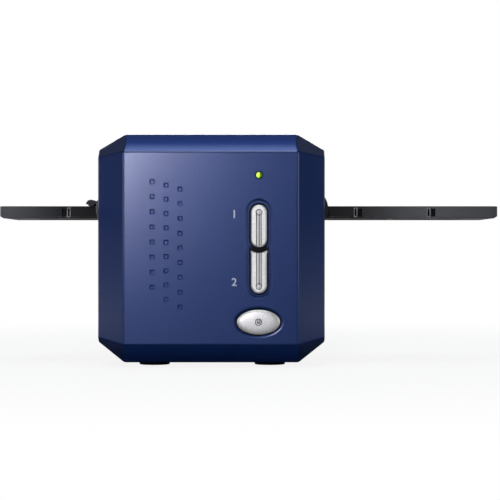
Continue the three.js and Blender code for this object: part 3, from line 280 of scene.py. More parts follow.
# Plain studio light: one lamp high in front, three from above and behind, and a large soft one
# on each side. A small soft box lays the pale sheen on the upper left of the face, and two weak
# rims behind draw the case's edges. The sky is dim, and white where it is seen directly.
WHITE = (1, 1, 1)
LAMPS = (
    ("high_front", (-0.4, -2.2, 2.3), (0, 0, 0.05), (1.6, 1.2), 9, WHITE),
    ("overhead", (0, 0.55, 2.7), (0, 0, 0.1), (1.8, 0.8), 8, (0.7, 0.84, 1.0)),
    ("front_overhead", (0, -0.75, 2.2), (0, -0.12, 0.1), (1.2, 0.6), 18, (0.82, 0.9, 1.0)),
    ("high_rear", (0, 2.5, 1.15), (0, 0, 0.06), (1.6, 0.6), 14, WHITE),
    ("left_side", (-1.7, -1.3, 0.35), (0, -0.13, 0.06), (1.3, 1.5), 9.5, WHITE),
    ("right_side", (1.7, -1.3, 0.35), (0, -0.13, 0.06), (1.3, 1.5), 9.5, WHITE),
    ("sheen_box", (-0.38, -2.5, 0.42), (-0.06, -0.13, 0.09), (0.24, 0.44), 14, (0.9, 0.88, 1.0)),
    ("left_rim", (-2.2, 1.3, 0.3), (0, 0, 0.07), (0.3, 0.6), 2.5, WHITE),
    ("right_rim", (2.3, 1.3, 0.3), (0, 0, 0.07), (0.3, 0.6), 1.2, WHITE),
)
SKY_STRENGTH = 0.06
for name, place, aim, size, watts, colour in LAMPS:
    light = bpy.data.lights.new(name, "AREA")
    light.shape = "RECTANGLE"
    light.size, light.size_y = size
    light.energy = watts
    light.color = colour
    lamp = bpy.data.objects.new(name, light)
    lamp.location = place
    lamp.rotation_euler = (Vector(aim) - Vector(place)).to_track_quat("-Z", "Y").to_euler()
    bpy.context.scene.collection.objects.link(lamp)

world = bpy.data.worlds.new("studio")
bpy.context.scene.world = world
world.use_nodes = True
sky = world.node_tree.nodes["Background"].inputs
sky["Color"].default_value = (0.97, 0.98, 1, 1)
sky_nodes = Nodes(world.node_tree)
sky_rays = sky_nodes.node("ShaderNodeLightPath").outputs
seen_through = sky_nodes.math("MAXIMUM", sky_rays["Is Camera Ray"], sky_rays["Is Transmission Ray"])
strength = sky_nodes.remap(seen_through, 0, 1, SKY_STRENGTH)
world.node_tree.links.new(strength, sky["Strength"])

# The front bezel is one moulding of ABS, painted a satin pearl navy, whose flat face is
# framed by wide chamfers. It is pushed onto the two housings from the front.
MM = 0.001
CASE_X = -19 * MM
FOOT = 2.1 * MM
TOP = 118.6 * MM
HALF = 57.9 * MM
FRONT = -135.2 * MM
REAR = 136 * MM
FACE_HALF = 44 * MM
FACE_TOP = 109 * MM
FACE_LOW = 11.6 * MM
CHAMFER_REAR = FRONT + 16 * MM
BEZEL_REAR = -109.2 * MM
WALL = 2.4 * MM
TOP_CORNER = (14.0 * MM, 7.7 * MM, 11.9 * MM)
LOW_CORNER = (13.4 * MM, 10.4 * MM, 12.5 * MM)
CROWN_STEPS = 6
CROWN_RISE = 0.6 * MM
CHAMFER_WAY = (-0.51, 0.86)
LONG_EDGE_ROUND = 0.9 * MM
SCAN_X = CASE_X + 24.2 * MM
SCAN_WIDTH = 8.1 * MM
UPPER_TOP = 82.3 * MM
UPPER_LOW = 60.75 * MM
LOWER_LOW = 37.6 * MM
SCAN_ARC_Z = UPPER_LOW + SCAN_WIDTH / 2
SCAN_GAP = 0.85 * MM
ARC_RADIUS = 6.7 * MM
WEB_HALF = 3.9 * MM
RECESS_WIDTH = 13.5 * MM
RECESS_DEPTH = 1.0 * MM
POWER_X, POWER_Z = CASE_X + 24.0 * MM, 23.3 * MM
POWER_HALF_WIDTH, POWER_HALF_HEIGHT = 10.8 * MM, 6.25 * MM
POWER_GAP = 0.7 * MM
LAMP_X, LAMP_Z = CASE_X + 24.3 * MM, 97.1 * MM
LAMP_HOLE = 2.12 * MM
DIMPLE_HALF = 1.2 * MM
DIMPLE_DEPTH = 0.6 * MM
DIMPLE_COLUMNS = ((-29.4, 93.8, 7.57, 8), (-22.4, 92.1, 7.18, 9), (-15.4, 90.1, 7.4, 9))


def block(name, low, high):
    clear_selection()
    low, high = Vector(low), Vector(high)
    bpy.ops.mesh.primitive_cube_add(size=1, location=(low + high) / 2, scale=high - low)
    return name_piece(name)


def case_planes():
    """A point and an outward normal for each cut face of the case."""
    middle = Vector((CASE_X, 0, 60 * MM))
    planes = []

    def through(a, b, c):
        a, b, c = Vector(a), Vector(b), Vector(c)
        normal = (b - a).cross(c - a).normalized()
        if normal.dot(middle - a) > 0:
            normal.negate()
        planes.append((a, normal))

    levels = ((TOP, FACE_TOP, TOP_CORNER, -1), (FOOT, FACE_LOW, LOW_CORNER, 1))
    for side in (-1, 1):
        edge = CASE_X + side * HALF
        face = CASE_X + side * FACE_HALF
        through((face, FRONT, FACE_TOP), (face, FRONT, FACE_LOW), (edge, CHAMFER_REAR, FACE_TOP))
        for level, flat_z, (width, drop, facet), inward in levels:
            flat = CASE_X + side * (HALF - width)
            low, cut = level + inward * drop, level + inward * facet
            through((flat, FRONT, level), (flat, REAR, level), (edge, REAR, low))
            through((face, FRONT, flat_z), (flat, CHAMFER_REAR, level), (edge, CHAMFER_REAR, cut))
    left, right = CASE_X - 1, CASE_X + 1
    through((left, FRONT, FACE_LOW), (right, FRONT, FACE_LOW), (CASE_X, CHAMFER_REAR, FOOT))
    crown = []
    for step in range(CROWN_STEPS + 1):
        share = step / CROWN_STEPS
        bulge = 4 * CROWN_RISE * share * (1 - share)
        crown.append((
            CHAMFER_REAR + (FRONT - CHAMFER_REAR) * share + bulge * CHAMFER_WAY[0],
            TOP + (FACE_TOP - TOP) * share + bulge * CHAMFER_WAY[1],
        ))
    for (y0, z0), (y1, z1) in zip(crown, crown[1:]):
        through((left, y0, z0), (right, y0, z0), (CASE_X, y1, z1))
    return planes


def case_form(name, front, rear, low, high, inset=0.0):
    """A block cut to the case's surface, moved in by inset, between two depths and heights."""
    low, high = max(low, FOOT + inset), min(high, TOP - inset)
    half = HALF - inset
    form = block(
        name, (CASE_X - half, max(front, FRONT + inset), low), (CASE_X + half, rear, high)
    )
    edit(form)
    for point, normal in case_planes():
        bpy.ops.mesh.select_all(action="SELECT")
        where = point - normal * inset
        bpy.ops.mesh.bisect(plane_co=where, plane_no=normal, use_fill=True, clear_outer=True)
    leave_edit()
    return form


def carve(piece, *cutters, operation="DIFFERENCE"):
    for cutter in cutters:
        change = piece.modifiers.new("carve", "BOOLEAN")
        change.operation = operation
        change.solver = "EXACT"
        change.object = cutter
        finish_modifier(piece)
        bpy.data.objects.remove(cutter)


def disc(name, radius, x, z, front, rear, sides=48):
    clear_selection()
    bpy.ops.mesh.primitive_cylinder_add(
        vertices=sides, radius=radius, depth=rear - front,
        location=(x, (front + rear) / 2, z), rotation=(math.radians(90), 0, 0),
    )
    return name_piece(name)


def stadium_bar(name, width, x, low, high, front, rear):
    """A bar with round ends, drawn out from a round one by moving its lower half down."""
    bar = disc(name, width / 2, x, high - width / 2, front, rear)
    edit(bar, "VERT", lambda middle, _: middle.z < high - width / 2 + 1e-6)
    bpy.ops.transform.translate(value=(0, 0, low - high + width))
    leave_edit()
    return bar


def oval_bar(name, grow, front, rear):
    """A bar with the power button's outline, moved out by grow."""
    half_width, half_height = POWER_HALF_WIDTH + grow, POWER_HALF_HEIGHT + grow
    bar = disc(name, half_width, POWER_X, POWER_Z, front, rear, 64)
    edit(bar, "VERT")
    squash = (1, 1, half_height / half_width)
    bpy.ops.transform.resize(value=squash, center_override=(POWER_X, 0, POWER_Z))
    leave_edit()
    return bar


def upper_outline(name, grow, front, rear):
    width = SCAN_WIDTH + 2 * grow
    return stadium_bar(name, width, SCAN_X, UPPER_LOW - grow, UPPER_TOP + grow, front, rear)


def lower_outline(name, grow, front, rear):
    """The lower scan button's: round below, hollow above where the upper button stands."""
    width = SCAN_WIDTH + 2 * grow
    high = SCAN_ARC_Z + 4 * MM
    bar = stadium_bar(name, width, SCAN_X, LOWER_LOW - grow, high, front, rear)
    front, rear = front - MM, rear + MM
    hollow = disc("hollow", ARC_RADIUS - grow, SCAN_X, SCAN_ARC_Z, front, rear, 96)
    left, right = SCAN_X - 9 * MM, SCAN_X + 9 * MM
    above = block("above", (left, front, SCAN_ARC_Z), (right, rear, SCAN_ARC_Z + 12 * MM))
    carve(bar, hollow, above)
    return bar


def facing_front(_, normal):
    return normal.y < -0.9


def facing_rear(_, normal):
    return normal.y > 0.9


def tidy_mesh(piece, angle=0.5):
    edit(piece)
    bpy.ops.mesh.remove_doubles(threshold=2e-6)
    bpy.ops.mesh.dissolve_limited(angle_limit=math.radians(angle), delimit=set())
    leave_edit()


def inside_stadium(point, radius):
    """Whether a point is within a radius of the scan buttons' middle line."""
    line_z = min(max(point.z, LOWER_LOW + SCAN_WIDTH / 2), UPPER_TOP - SCAN_WIDTH / 2)
    return math.hypot(point.x - SCAN_X, point.z - line_z) < radius


bezel = case_form("bezel", FRONT, BEZEL_REAR, FOOT, TOP)
edit(bezel, "EDGE", lambda middle, _: middle.y < BEZEL_REAR - 0.5 * MM)
bevel(LONG_EDGE_ROUND, 4)
edit(bezel, "EDGE", lambda middle, _: middle.y > BEZEL_REAR - 0.05 * MM)
bevel(0.2 * MM, 2)
leave_edit()
carve(bezel, case_form("room", FRONT, BEZEL_REAR + MM, FOOT, TOP, WALL))

recess = stadium_bar(
    "recess", RECESS_WIDTH, SCAN_X, LOWER_LOW - 2.45 * MM, UPPER_TOP + 3.05 * MM,
    FRONT, FRONT + RECESS_DEPTH,
)
edit(recess, "FACE", facing_rear)
bpy.ops.mesh.inset(thickness=1.1 * MM, depth=0)
edit(recess, "VERT", lambda middle, _: middle.y > FRONT + 0.1 * MM
     and not inside_stadium(middle, 6.25 * MM))
bpy.ops.transform.translate(value=(0, -RECESS_DEPTH * 0.75, 0))
edit(recess, "FACE", facing_front)
extrude(0, -MM, 0)
leave_edit()
power_dish = oval_bar("power_dish", 1.9 * MM, FRONT, FRONT + 0.42 * MM)
edit(power_dish, "FACE", facing_rear)
bpy.ops.transform.resize(value=(0.9, 1, 0.85), center_override=(POWER_X, 0, POWER_Z))
edit(power_dish, "FACE", facing_front)
extrude(0, -MM, 0)
leave_edit()
through_wall = (FRONT - MM, FRONT + WALL + MM)
carve(
    bezel, recess, power_dish,
    upper_outline("upper_hole", SCAN_GAP, *through_wall),
    lower_outline("lower_hole", SCAN_GAP, *through_wall),
    block(
        "web_gap", (SCAN_X - WEB_HALF, through_wall[0], SCAN_ARC_Z - 6.3 * MM),
        (SCAN_X + WEB_HALF, through_wall[1], SCAN_ARC_Z - 3.2 * MM),
    ),
    oval_bar("power_hole", POWER_GAP, *through_wall),
    disc("lamp_hole", LAMP_HOLE, LAMP_X, LAMP_Z, *through_wall, 32),
)
for column_x, column_top, pitch, count in DIMPLE_COLUMNS:
    middle_x = CASE_X + column_x * MM
    for row in range(count):
        middle_z = (column_top - row * pitch) * MM
        dimple = block(
            "dimple", (middle_x - DIMPLE_HALF, FRONT, middle_z - DIMPLE_HALF),
            (middle_x + DIMPLE_HALF, FRONT + DIMPLE_DEPTH, middle_z + DIMPLE_HALF),
        )
        edit(dimple, "FACE", facing_rear)
        bpy.ops.transform.resize(value=(0.62, 1, 0.62))
        edit(dimple, "FACE", facing_front)
        extrude(0, -MM, 0)
        leave_edit()
        carve(bezel, dimple)
tidy_mesh(bezel)
soften(bezel, 0.12 * MM, 2, 32)
smooth(bezel, 30)
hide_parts("front_bezel")
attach(bezel, "root")


def shared_group(name, inputs, outputs, build):
    """A node group of varying values, made once and placed in each material with its numbers."""
    tree = bpy.data.node_groups.new(name, "ShaderNodeTree")
    for socket, value in inputs:
        made = tree.interface.new_socket(socket, in_out="INPUT", socket_type="NodeSocketFloat")
        made.default_value = value
    tree.interface.new_socket("Vector", in_out="INPUT", socket_type="NodeSocketVector")
    for socket in outputs:
        tree.interface.new_socket(socket, in_out="OUTPUT", socket_type="NodeSocketFloat")
    given = tree.nodes.new("NodeGroupInput")
    taken = tree.nodes.new("NodeGroupOutput")
    for socket, value in zip(outputs, build(Nodes(tree), given.outputs)):
        tree.links.new(value, taken.inputs[socket])
    return tree


def build_grain(group, given):
    """Moulding or paint grain: a roughness that varies slowly, a height that varies finely."""
    slow = group.noise(given["Vector"], given["Cloud Scale"], 4.0)
    fine = group.noise(given["Vector"], given["Grain Scale"])
    both = group.math("ADD", slow, fine)
    return group.remap(both, 0.7, 1.3, given["Smoothest"], given["Roughest"]), fine, slow


def build_rub(group, given):
    """A mask of corners and edges that hands rub, broken up by noise."""
    rounded = group.node("ShaderNodeBevel", {"Radius": given["Width"]}, samples=4)
    flat = group.node("ShaderNodeNewGeometry")
    alike = group.alike(rounded.outputs["Normal"], flat.outputs["Normal"])
    edge = group.remap(alike, 0.995, 0.9)
    patch = group.remap(group.noise(given["Vector"], given["Patch Scale"], 5.0), 0.35, 0.7)
    mask = group.math("MULTIPLY", edge, patch)
    return group.math("MULTIPLY", mask, given["Amount"], clamp=True), edge


surface_grain = shared_group(
    "surface_grain",
    [("Cloud Scale", 30.0), ("Grain Scale", 900.0), ("Smoothest", 0.3), ("Roughest", 0.4)],
    ("Roughness", "Height", "Cloud"), build_grain,
)
edge_rub = shared_group(
    "edge_rub", [("Width", 0.6 * MM), ("Patch Scale", 90.0), ("Amount", 0.5)],
    ("Mask", "Edge"), build_rub,
)


def grained(finish, where, rough, grain_scale, height, cloud_scale=30.0):
    """Places the grain group, feeds Roughness and Normal from it, gives back its clouds."""
    given = {
        "Vector": where, "Cloud Scale": cloud_scale, "Grain Scale": grain_scale,
        "Smoothest": rough[0], "Roughest": rough[1],
    }
    grain = finish.node("ShaderNodeGroup", given, node_tree=surface_grain)
    bumps = {"Height": grain.outputs["Height"], "Strength": 0.5, "Distance": height * MM}
    finish.feed(grain.outputs["Roughness"], "Roughness")
    finish.feed(finish.node("ShaderNodeBump", bumps).outputs["Normal"], "Normal")
    return grain.outputs["Cloud"]


def rubbed(finish, where, colour, worn, width, amount, patch_scale=90.0):
    """Mixes a colour towards its worn tone along edges, feeds it in, gives back the edges."""
    given = {"Vector": where, "Width": width * MM, "Patch Scale": patch_scale, "Amount": amount}
    rub = finish.node("ShaderNodeGroup", given, node_tree=edge_rub).outputs
    finish.feed(finish.mix(rub["Mask"], colour, linear(*worn)))
    return rub["Edge"]


PAINT = (13, 41, 91)
# Painted light: each chamfer is given a lighter, purer blue by the way it faces, standing in for
# how the lamps light it; the top chamfer is painted lightest.
CHAMFER_PAINTED_LIGHT = (
    ((0, -0.51, 0.86), (16, 58, 136)), ((0, -0.51, -0.86), (14, 52, 118)),
    ((-0.75, -0.66, 0), (12, 46, 108)), ((0.75, -0.66, 0), (12, 46, 104)),
)


def navy_paint(name, rough, coat, gloss, painted_lit_tones=()):
    """Clouds, pearl flakes and rubbed edges under a clear coat, with painted light on the chamfers:
    each entry of painted_lit_tones is a way and the tone painted on faces turned that way.
    """
    finish = Finish(name, Metallic=0.5, Specular_IOR_Level=0.1, Coat_Roughness=coat)
    where = finish.place()
    clouds = grained(finish, where, rough, 1500.0, 0.005)
    flakes = finish.node("ShaderNodeTexVoronoi", {"Vector": where, "Scale": 3500.0})
    stops = ((0.0, PAINT), (0.8, (16, 46, 97)), (1.0, (38, 70, 126)))
    tint = finish.mix(clouds, finish.ramp(flakes.outputs["Color"], *stops), linear(*PAINT))
    # Painted light: faces turned towards each way are tinted with that way's lighter tone.
    for way, tone in painted_lit_tones:
        outward = finish.node("ShaderNodeTexCoord").outputs["Normal"]
        facing = finish.remap(finish.alike(outward, way), 0.93, 0.99)
        tint = finish.mix(facing, tint, linear(*tone))
    edges = rubbed(finish, where, tint, (58, 84, 140), 0.7, 0.35)
    finish.feed(finish.remap(edges, 0, 1, gloss, 0.25), "Coat Weight")
    return finish


navy_paint("pearl_navy_paint", (0.29, 0.35), 0.19, 1.0, CHAMFER_PAINTED_LIGHT).on(bezel)

# Two plain numbers are printed in silver-grey ink beside the scan buttons, where the real
# face has its words. They are a film of ink, 0.03 mm thick.
NUMBER_X = CASE_X + 13.2 * MM
INK_HEIGHT = 3.9 * MM
INK_HALF = 0.015 * MM


def written(name, text, size, place, turn, align, thicken, fineness):
    """Letters as a film of ink, in the body's own size and place."""
    clear_selection()
    bpy.ops.object.text_add()
    words = bpy.context.object
    words.data.body = text
    words.data.size = size
    words.data.align_x = align
    words.data.align_y = "CENTER"
    words.data.extrude = INK_HALF
    words.data.offset = thicken
    words.data.resolution_u = fineness
    bpy.ops.object.convert(target="MESH")
    words.rotation_euler = (turn, 0, 0)
    words.location = place
    piece = name_piece(name)
    tidy_mesh(piece)
    return piece


ink = Finish("silver_ink", Metallic=0.3)
grained(ink, ink.place(), (0.35, 0.55), 2500.0, 0.004)
ink_tone = ink.noise(ink.place(), 2200.0)
ink.feed(ink.ramp(ink_tone, (0.3, (150, 153, 166)), (0.7, (196, 198, 206))))
for name, text, z in (("number_one", "1", 77.3 * MM), ("number_two", "2", 43.2 * MM)):
    place = (NUMBER_X, FRONT - INK_HALF, z)
    upright = math.radians(90)
    number = written(name, text, INK_HEIGHT / 0.7, place, upright, "RIGHT", 0.06 * MM, 6)
    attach(number, "root")
    ink.on(number)

# The upper and lower housings are mouldings of the same ABS, painted like the bezel. They meet
# in a seam half way up the slots, and screw bosses at the rear hold them to the rear panel.
BODIES = frame["record"]["behaviour"]["bodies"]


def stand_for(piece, node):
    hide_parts(node)
    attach(piece, next(body for body, nodes in BODIES.items() if node in nodes))


def dress(piece, node, width, segments=2, angle=40, smoothing=35):
    """Softens a piece's edges by a width in mm and lets it stand for a CAD node."""
    soften(piece, width * MM, segments, angle)
    smooth(piece, smoothing)
    stand_for(piece, node)
    return piece


def worked_copy(node):
    """A copy of a CAD node's mesh with its loose triangles merged into whole faces."""
    source = frame["nodes"][node]
    piece = bpy.data.objects.new(node + "_worked", source.data.copy())
    bpy.context.scene.collection.objects.link(piece)
    tidy_mesh(piece, 0.8)
    return piece


def dressed(node, *look):
    return dress(worked_copy(node), node, *look)


def on_case_surface(point):
    nearest = max((point - where).dot(normal) for where, normal in case_planes())
    return abs(nearest) < 0.05 * MM


housing_paint = navy_paint("housing_paint", (0.44, 0.52), 0.24, 0.5)
for node in ("upper_housing", "lower_housing"):
    housing = worked_copy(node)
    edit(housing, "EDGE", lambda middle, way: abs(way.y) > 0.1 and on_case_surface(middle))
    bevel(LONG_EDGE_ROUND, 4)
    leave_edit()
    housing_paint.on(dress(housing, node, 0.2, 2, 40, 30))

# The rear panel is unpainted navy ABS with a fine spark-eroded grain, five vents and the
# openings of the two sockets. Four steel screws go through it into the housings.
rear_panel = worked_copy("rear_panel")
edit(rear_panel, "EDGE", lambda middle, _: middle.y > REAR - 0.05 * MM and on_case_surface(middle))
bevel(0.8 * MM, 4)
leave_edit()
dress(rear_panel, "rear_panel", 0.18, 2, 40, 30)


def worn_finish(name, rough, grain, tones, rub, spread=(0.3, 0.7), **sockets):
    """Most finishes: clouds between two tones, a fine grain, and edges rubbed to a third.
    The grain is its scale, height in mm and cloud scale, the rub its width in mm, its amount
    and the scale of its patches."""
    finish = Finish(name, **sockets)
    where = finish.place()
    clouds = grained(finish, where, rough, *grain)
    dark, light, worn = tones
    tone = finish.ramp(clouds, (spread[0], dark), (spread[1], light))
    rubbed(finish, where, tone, worn, *rub)
    return finish


panel_navy = worn_finish(
    "grained_navy_abs", (0.5, 0.66), (1100, 0.06), ((20, 29, 66), (27, 37, 78), (70, 80, 118)),
    (0.6, 0.5), spread=(0.35, 0.65), Roughness=0.55,
)
panel_navy.on(rear_panel)
screw_steel = worn_finish(
    "zinc_screw_steel", (0.28, 0.45), (1800, 0.01, 300),
    ((158, 160, 166), (192, 190, 180), (226, 226, 228)), (0.2, 0.8, 500), Metallic=0.95,
)
for corner in ("upper_left", "upper_right", "lower_left", "lower_right"):
    screw_steel.on(dressed("case_screw_" + corner, 0.12))

# Four round feet of black rubber are glued into shallow seats under the lower housing.
# Each has a rounded rim, a shallow dish and a ring groove, so that it grips the table.
FOOT_RADIUS = 7.9 * MM
FOOT_HEIGHT = 2.5 * MM
FOOT_RINGS = ((1.9, 0), (0.35, -0.45), (0.5, 0), (0.35, 0.45), (1.2, -0.25))


def inset_rings(rings):
    """Insets the selected face again and again, by thickness and depth in mm."""
    for thickness, depth in rings:
        bpy.ops.mesh.inset(thickness=thickness * MM, depth=depth * MM)


def rubber_foot(node):
    low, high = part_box(node)
    clear_selection()
    bpy.ops.mesh.primitive_cylinder_add(
        vertices=64, radius=FOOT_RADIUS, depth=FOOT_HEIGHT,
        location=((low.x + high.x) / 2, (low.y + high.y) / 2, FOOT_HEIGHT / 2),
    )
    foot = name_piece(node + "_rubber")
    edit(foot, "FACE", lambda _, normal: normal.z < -0.9)
    inset_rings(FOOT_RINGS)
    leave_edit()
    return dress(foot, node, 0.45, 3, 60, 40)


foot_rubber = worn_finish(
    "foot_rubber", (0.72, 0.92), (1400, 0.05, 120), ((15, 15, 16), (27, 27, 28), (60, 59, 57)),
    (0.5, 0.6, 300),
)
for corner in ("front_left", "front_right", "rear_left", "rear_right"):
    foot_rubber.on(rubber_foot("foot_" + corner))

# A bulged frame of charcoal plastic is pressed into the slot of each side. A dust door with a
# finger rib hangs in it on a steel pin, turned down by a coiled spring until it meets the holder.
frame_plastic = worn_finish(
    "slot_frame_plastic", (0.3, 0.42), (1300, 0.02), ((46, 46, 49), (62, 62, 64), (108, 108, 108)),
    (0.6, 0.7), Roughness=0.42, Specular_IOR_Level=0.3,
)
door_plastic = worn_finish(
    "dust_door_plastic", (0.3, 0.45), (1500, 0.02, 60), ((9, 9, 11), (18, 18, 20), (92, 92, 94)),
    (0.4, 0.7, 200), Roughness=0.4, Specular_IOR_Level=0.2,
)
bright_steel = worn_finish(
    "ground_steel", (0.16, 0.28), (2600, 0.004, 90),
    ((176, 178, 182), (204, 204, 206), (235, 235, 236)), (0.2, 0.6, 500), Metallic=0.96,
)
for side in ("left", "right"):
    frame_plastic.on(dressed("slot_frame_" + side, 0.32, 3, 40, 30))
    door_plastic.on(dressed(side + "_dust_door", 0.3, 2, 40, 55))
    bright_steel.on(dressed(side + "_door_pin", 0.1))

# Each door's torsion spring is 0.35 mm steel wire, wound in close turns round the pin.
# It is drawn as one long coiled line that is given the thickness of the wire.
SPRING_WIRE = 0.17 * MM
SPRING_TURNS = 14
TURN_STEPS = 16
spring_steel = worn_finish(
    "spring_steel", (0.22, 0.4), (2200, 0.01, 200),
    ((122, 120, 116), (162, 158, 150), (206, 204, 198)), (0.2, 0.6, 400), Metallic=0.95,
)


def torsion_spring(node):
    low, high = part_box(node)
    middle = (low + high) / 2
    radius = (high.x - low.x) / 2 - SPRING_WIRE
    length = high.y - low.y - 2 * SPRING_WIRE
    wire = bpy.data.curves.new(node + "_wire", "CURVE")
    wire.dimensions = "3D"
    wire.bevel_depth = SPRING_WIRE
    wire.bevel_resolution = 2
    wire.use_fill_caps = True
    steps = SPRING_TURNS * TURN_STEPS
    coil = wire.splines.new("POLY")
    coil.points.add(steps)
    for step in range(steps + 1):
        turn = 2 * math.pi * step / TURN_STEPS
        x, z = middle.x + radius * math.cos(turn), middle.z + radius * math.sin(turn)
        coil.points[step].co = (x, low.y + SPRING_WIRE + length * step / steps, z, 1)
    piece = bpy.data.objects.new(node + "_coil", wire)
    bpy.context.scene.collection.objects.link(piece)
    activate(piece)
    bpy.ops.object.convert(target="MESH")
    smooth(piece, 60)
    stand_for(piece, node)
    return piece


for side in ("left", "right"):
    spring_steel.on(torsion_spring(side + "_door_spring"))

# The two scan buttons are ABS caps in satin silver paint, hollowed along the middle, with a raised
# rib that starts at a small ring. Their flanges and stems behind the bezel stay black. The hollow
# is painted in a darker copy of the silver and its grooves in black, both painted shade.
CAP_FRONT = FRONT - 0.8 * MM
CAP_REAR = FRONT + 2.7 * MM
FLANGE_REAR = FRONT + 3.7 * MM
FLANGE_GROW = 1.0 * MM
STEM_REAR = -128.65 * MM
STEM_RADIUS = 2.0 * MM
PAINT_REACH = 1.1 * MM
TROUGH_HALF = 1.45 * MM
TROUGH_FLOOR = CAP_FRONT + 0.42 * MM
TROUGH_CROWN = 0.16 * MM
GROOVES = ((-1.22, 0.18), (0.06, 0.17), (1.25, 0.1))
GROOVE_FLOOR = TROUGH_FLOOR + 0.45 * MM
RING_RADIUS = 1.65 * MM
BOSS_RADIUS = 0.62 * MM
LOWER_STEM_Z = (LOWER_LOW + UPPER_LOW - 2.65 * MM) / 2


def scan_cap(name, outline, ring_z, line_low, line_high, stem_z):
    cap = outline(name, 0.0, CAP_FRONT, CAP_REAR)
    tidy_mesh(cap)
    edit(cap, "EDGE", lambda middle, _: middle.y < CAP_FRONT + 0.02 * MM)
    bevel(1.0 * MM, 6)
    leave_edit()
    proud = CAP_FRONT - MM
    left, right = SCAN_X - TROUGH_HALF, SCAN_X + TROUGH_HALF
    trough = block("trough", (left, proud, line_low), (right, TROUGH_FLOOR, line_high))
    edit(trough)
    bpy.ops.mesh.bisect(plane_co=(SCAN_X, 0, 0), plane_no=(1, 0, 0))
    edit(trough, "VERT", lambda middle, _: abs(middle.x - SCAN_X) < 0.01 * MM
         and middle.y > CAP_FRONT)
    bpy.ops.transform.translate(value=(0, -TROUGH_CROWN, 0))
    leave_edit()
    carve(cap, trough, disc("ring_bed", RING_RADIUS, SCAN_X, ring_z, proud, TROUGH_FLOOR, 40))
    for away, half in GROOVES:
        left, right = SCAN_X + (away - half) * MM, SCAN_X + (away + half) * MM
        carve(cap, block("groove", (left, proud, line_low), (right, GROOVE_FLOOR, line_high)))
    front = TROUGH_FLOOR - 0.05 * MM
    moat = disc("moat", RING_RADIUS, SCAN_X, ring_z, front, GROOVE_FLOOR, 40)
    core = RING_RADIUS - 0.3 * MM
    carve(moat, disc("moat_core", core, SCAN_X, ring_z, proud, CAP_REAR, 40))
    carve(cap, moat)
    front = CAP_FRONT + 0.1 * MM
    boss = disc("boss", BOSS_RADIUS, SCAN_X, ring_z, front, TROUGH_FLOOR + MM, 24)
    edit(boss, "EDGE", lambda middle, _: middle.y < CAP_FRONT + 0.2 * MM)
    bevel(0.22 * MM, 3)
    leave_edit()
    carve(cap, boss, operation="UNION")
    tidy_mesh(cap)
    stem = disc("stem", STEM_RADIUS, SCAN_X, stem_z, FLANGE_REAR - MM, STEM_REAR, 24)
    flange = outline("flange", FLANGE_GROW, CAP_REAR, FLANGE_REAR)
    carve(cap, flange, stem, operation="UNION")
    tidy_mesh(cap)
    return cap


upper_cap = scan_cap(
    "upper_scan_cap", upper_outline, 78.4 * MM, 61.3 * MM, 78.4 * MM, (UPPER_LOW + UPPER_TOP) / 2
)
lower_cap = scan_cap(
    "lower_scan_cap", lower_outline, 41.2 * MM, 41.2 * MM, 58.2 * MM, LOWER_STEM_Z
)
dress(upper_cap, "upper_scan_button", 0.05, 1, 50, 40)
dress(lower_cap, "lower_scan_button", 0.05, 1, 50, 40)

silver = Finish("satin_silver_paint", Metallic=0.6)
where = silver.place()
grained(silver, where, (0.3, 0.42), 1900, 0.018, 200)
sparkle = silver.node("ShaderNodeTexVoronoi", {"Vector": where, "Scale": 4200.0}).outputs["Color"]
silver_tones = ((0.0, (190, 190, 186)), (0.6, (222, 222, 216)), (1.0, (246, 245, 239)))
rubbed(silver, where, silver.ramp(sparkle, *silver_tones), (150, 150, 152), 0.2, 0.5, 400)


# Painted shade: a darker copy of the silver, for the faces in a sunk hollow.
def shaded_silver_copy(name, dark, light):
    return worn_finish(
        name, (0.42, 0.55), (1900, 0.018, 200), (dark, light, (186, 187, 188)), (0.2, 0.6, 400),
        Metallic=0.6,
    )


trough_shade_silver = shaded_silver_copy("shaded_silver_paint", (190, 190, 184), (212, 211, 204))
bed_shade_silver = shaded_silver_copy("shaded_bed_silver_paint", (118, 119, 120), (142, 142, 141))
black_abs = worn_finish(
    "black_abs", (0.42, 0.58), (1200, 0.03, 60), ((7, 7, 9), (13, 13, 16), (62, 62, 64)),
    (0.4, 0.5, 150), Roughness=0.5, Specular_IOR_Level=0.12,
)


def silver_in_front(cap, hollow, bed, bed_front, floor):
    """Silver where the paint reaches, with painted shade in the sunk bed: a darker copy of the
    silver there, and black in the grooves of the bed's floor. Bare black plastic from 1.1 mm behind
    the bezel's face."""
    silver.on(cap)
    cap.data.materials.append(black_abs.material)
    cap.data.materials.append(hollow.material)
    for face in cap.data.polygons:
        in_bed, y = bed(face.center), face.center.y
        if y > FRONT + PAINT_REACH or (in_bed and y > floor + 0.04 * MM):
            face.material_index = 1
        elif in_bed and y > bed_front:
            face.material_index = 2


def in_trough(point):
    half = RING_RADIUS + 0.05 * MM
    return abs(point.x - SCAN_X) < half and CAP_FRONT < point.y < TROUGH_FLOOR + 0.6 * MM


for cap in (upper_cap, lower_cap):
    silver_in_front(cap, trough_shade_silver, in_trough, TROUGH_FLOOR - 0.2 * MM, TROUGH_FLOOR)

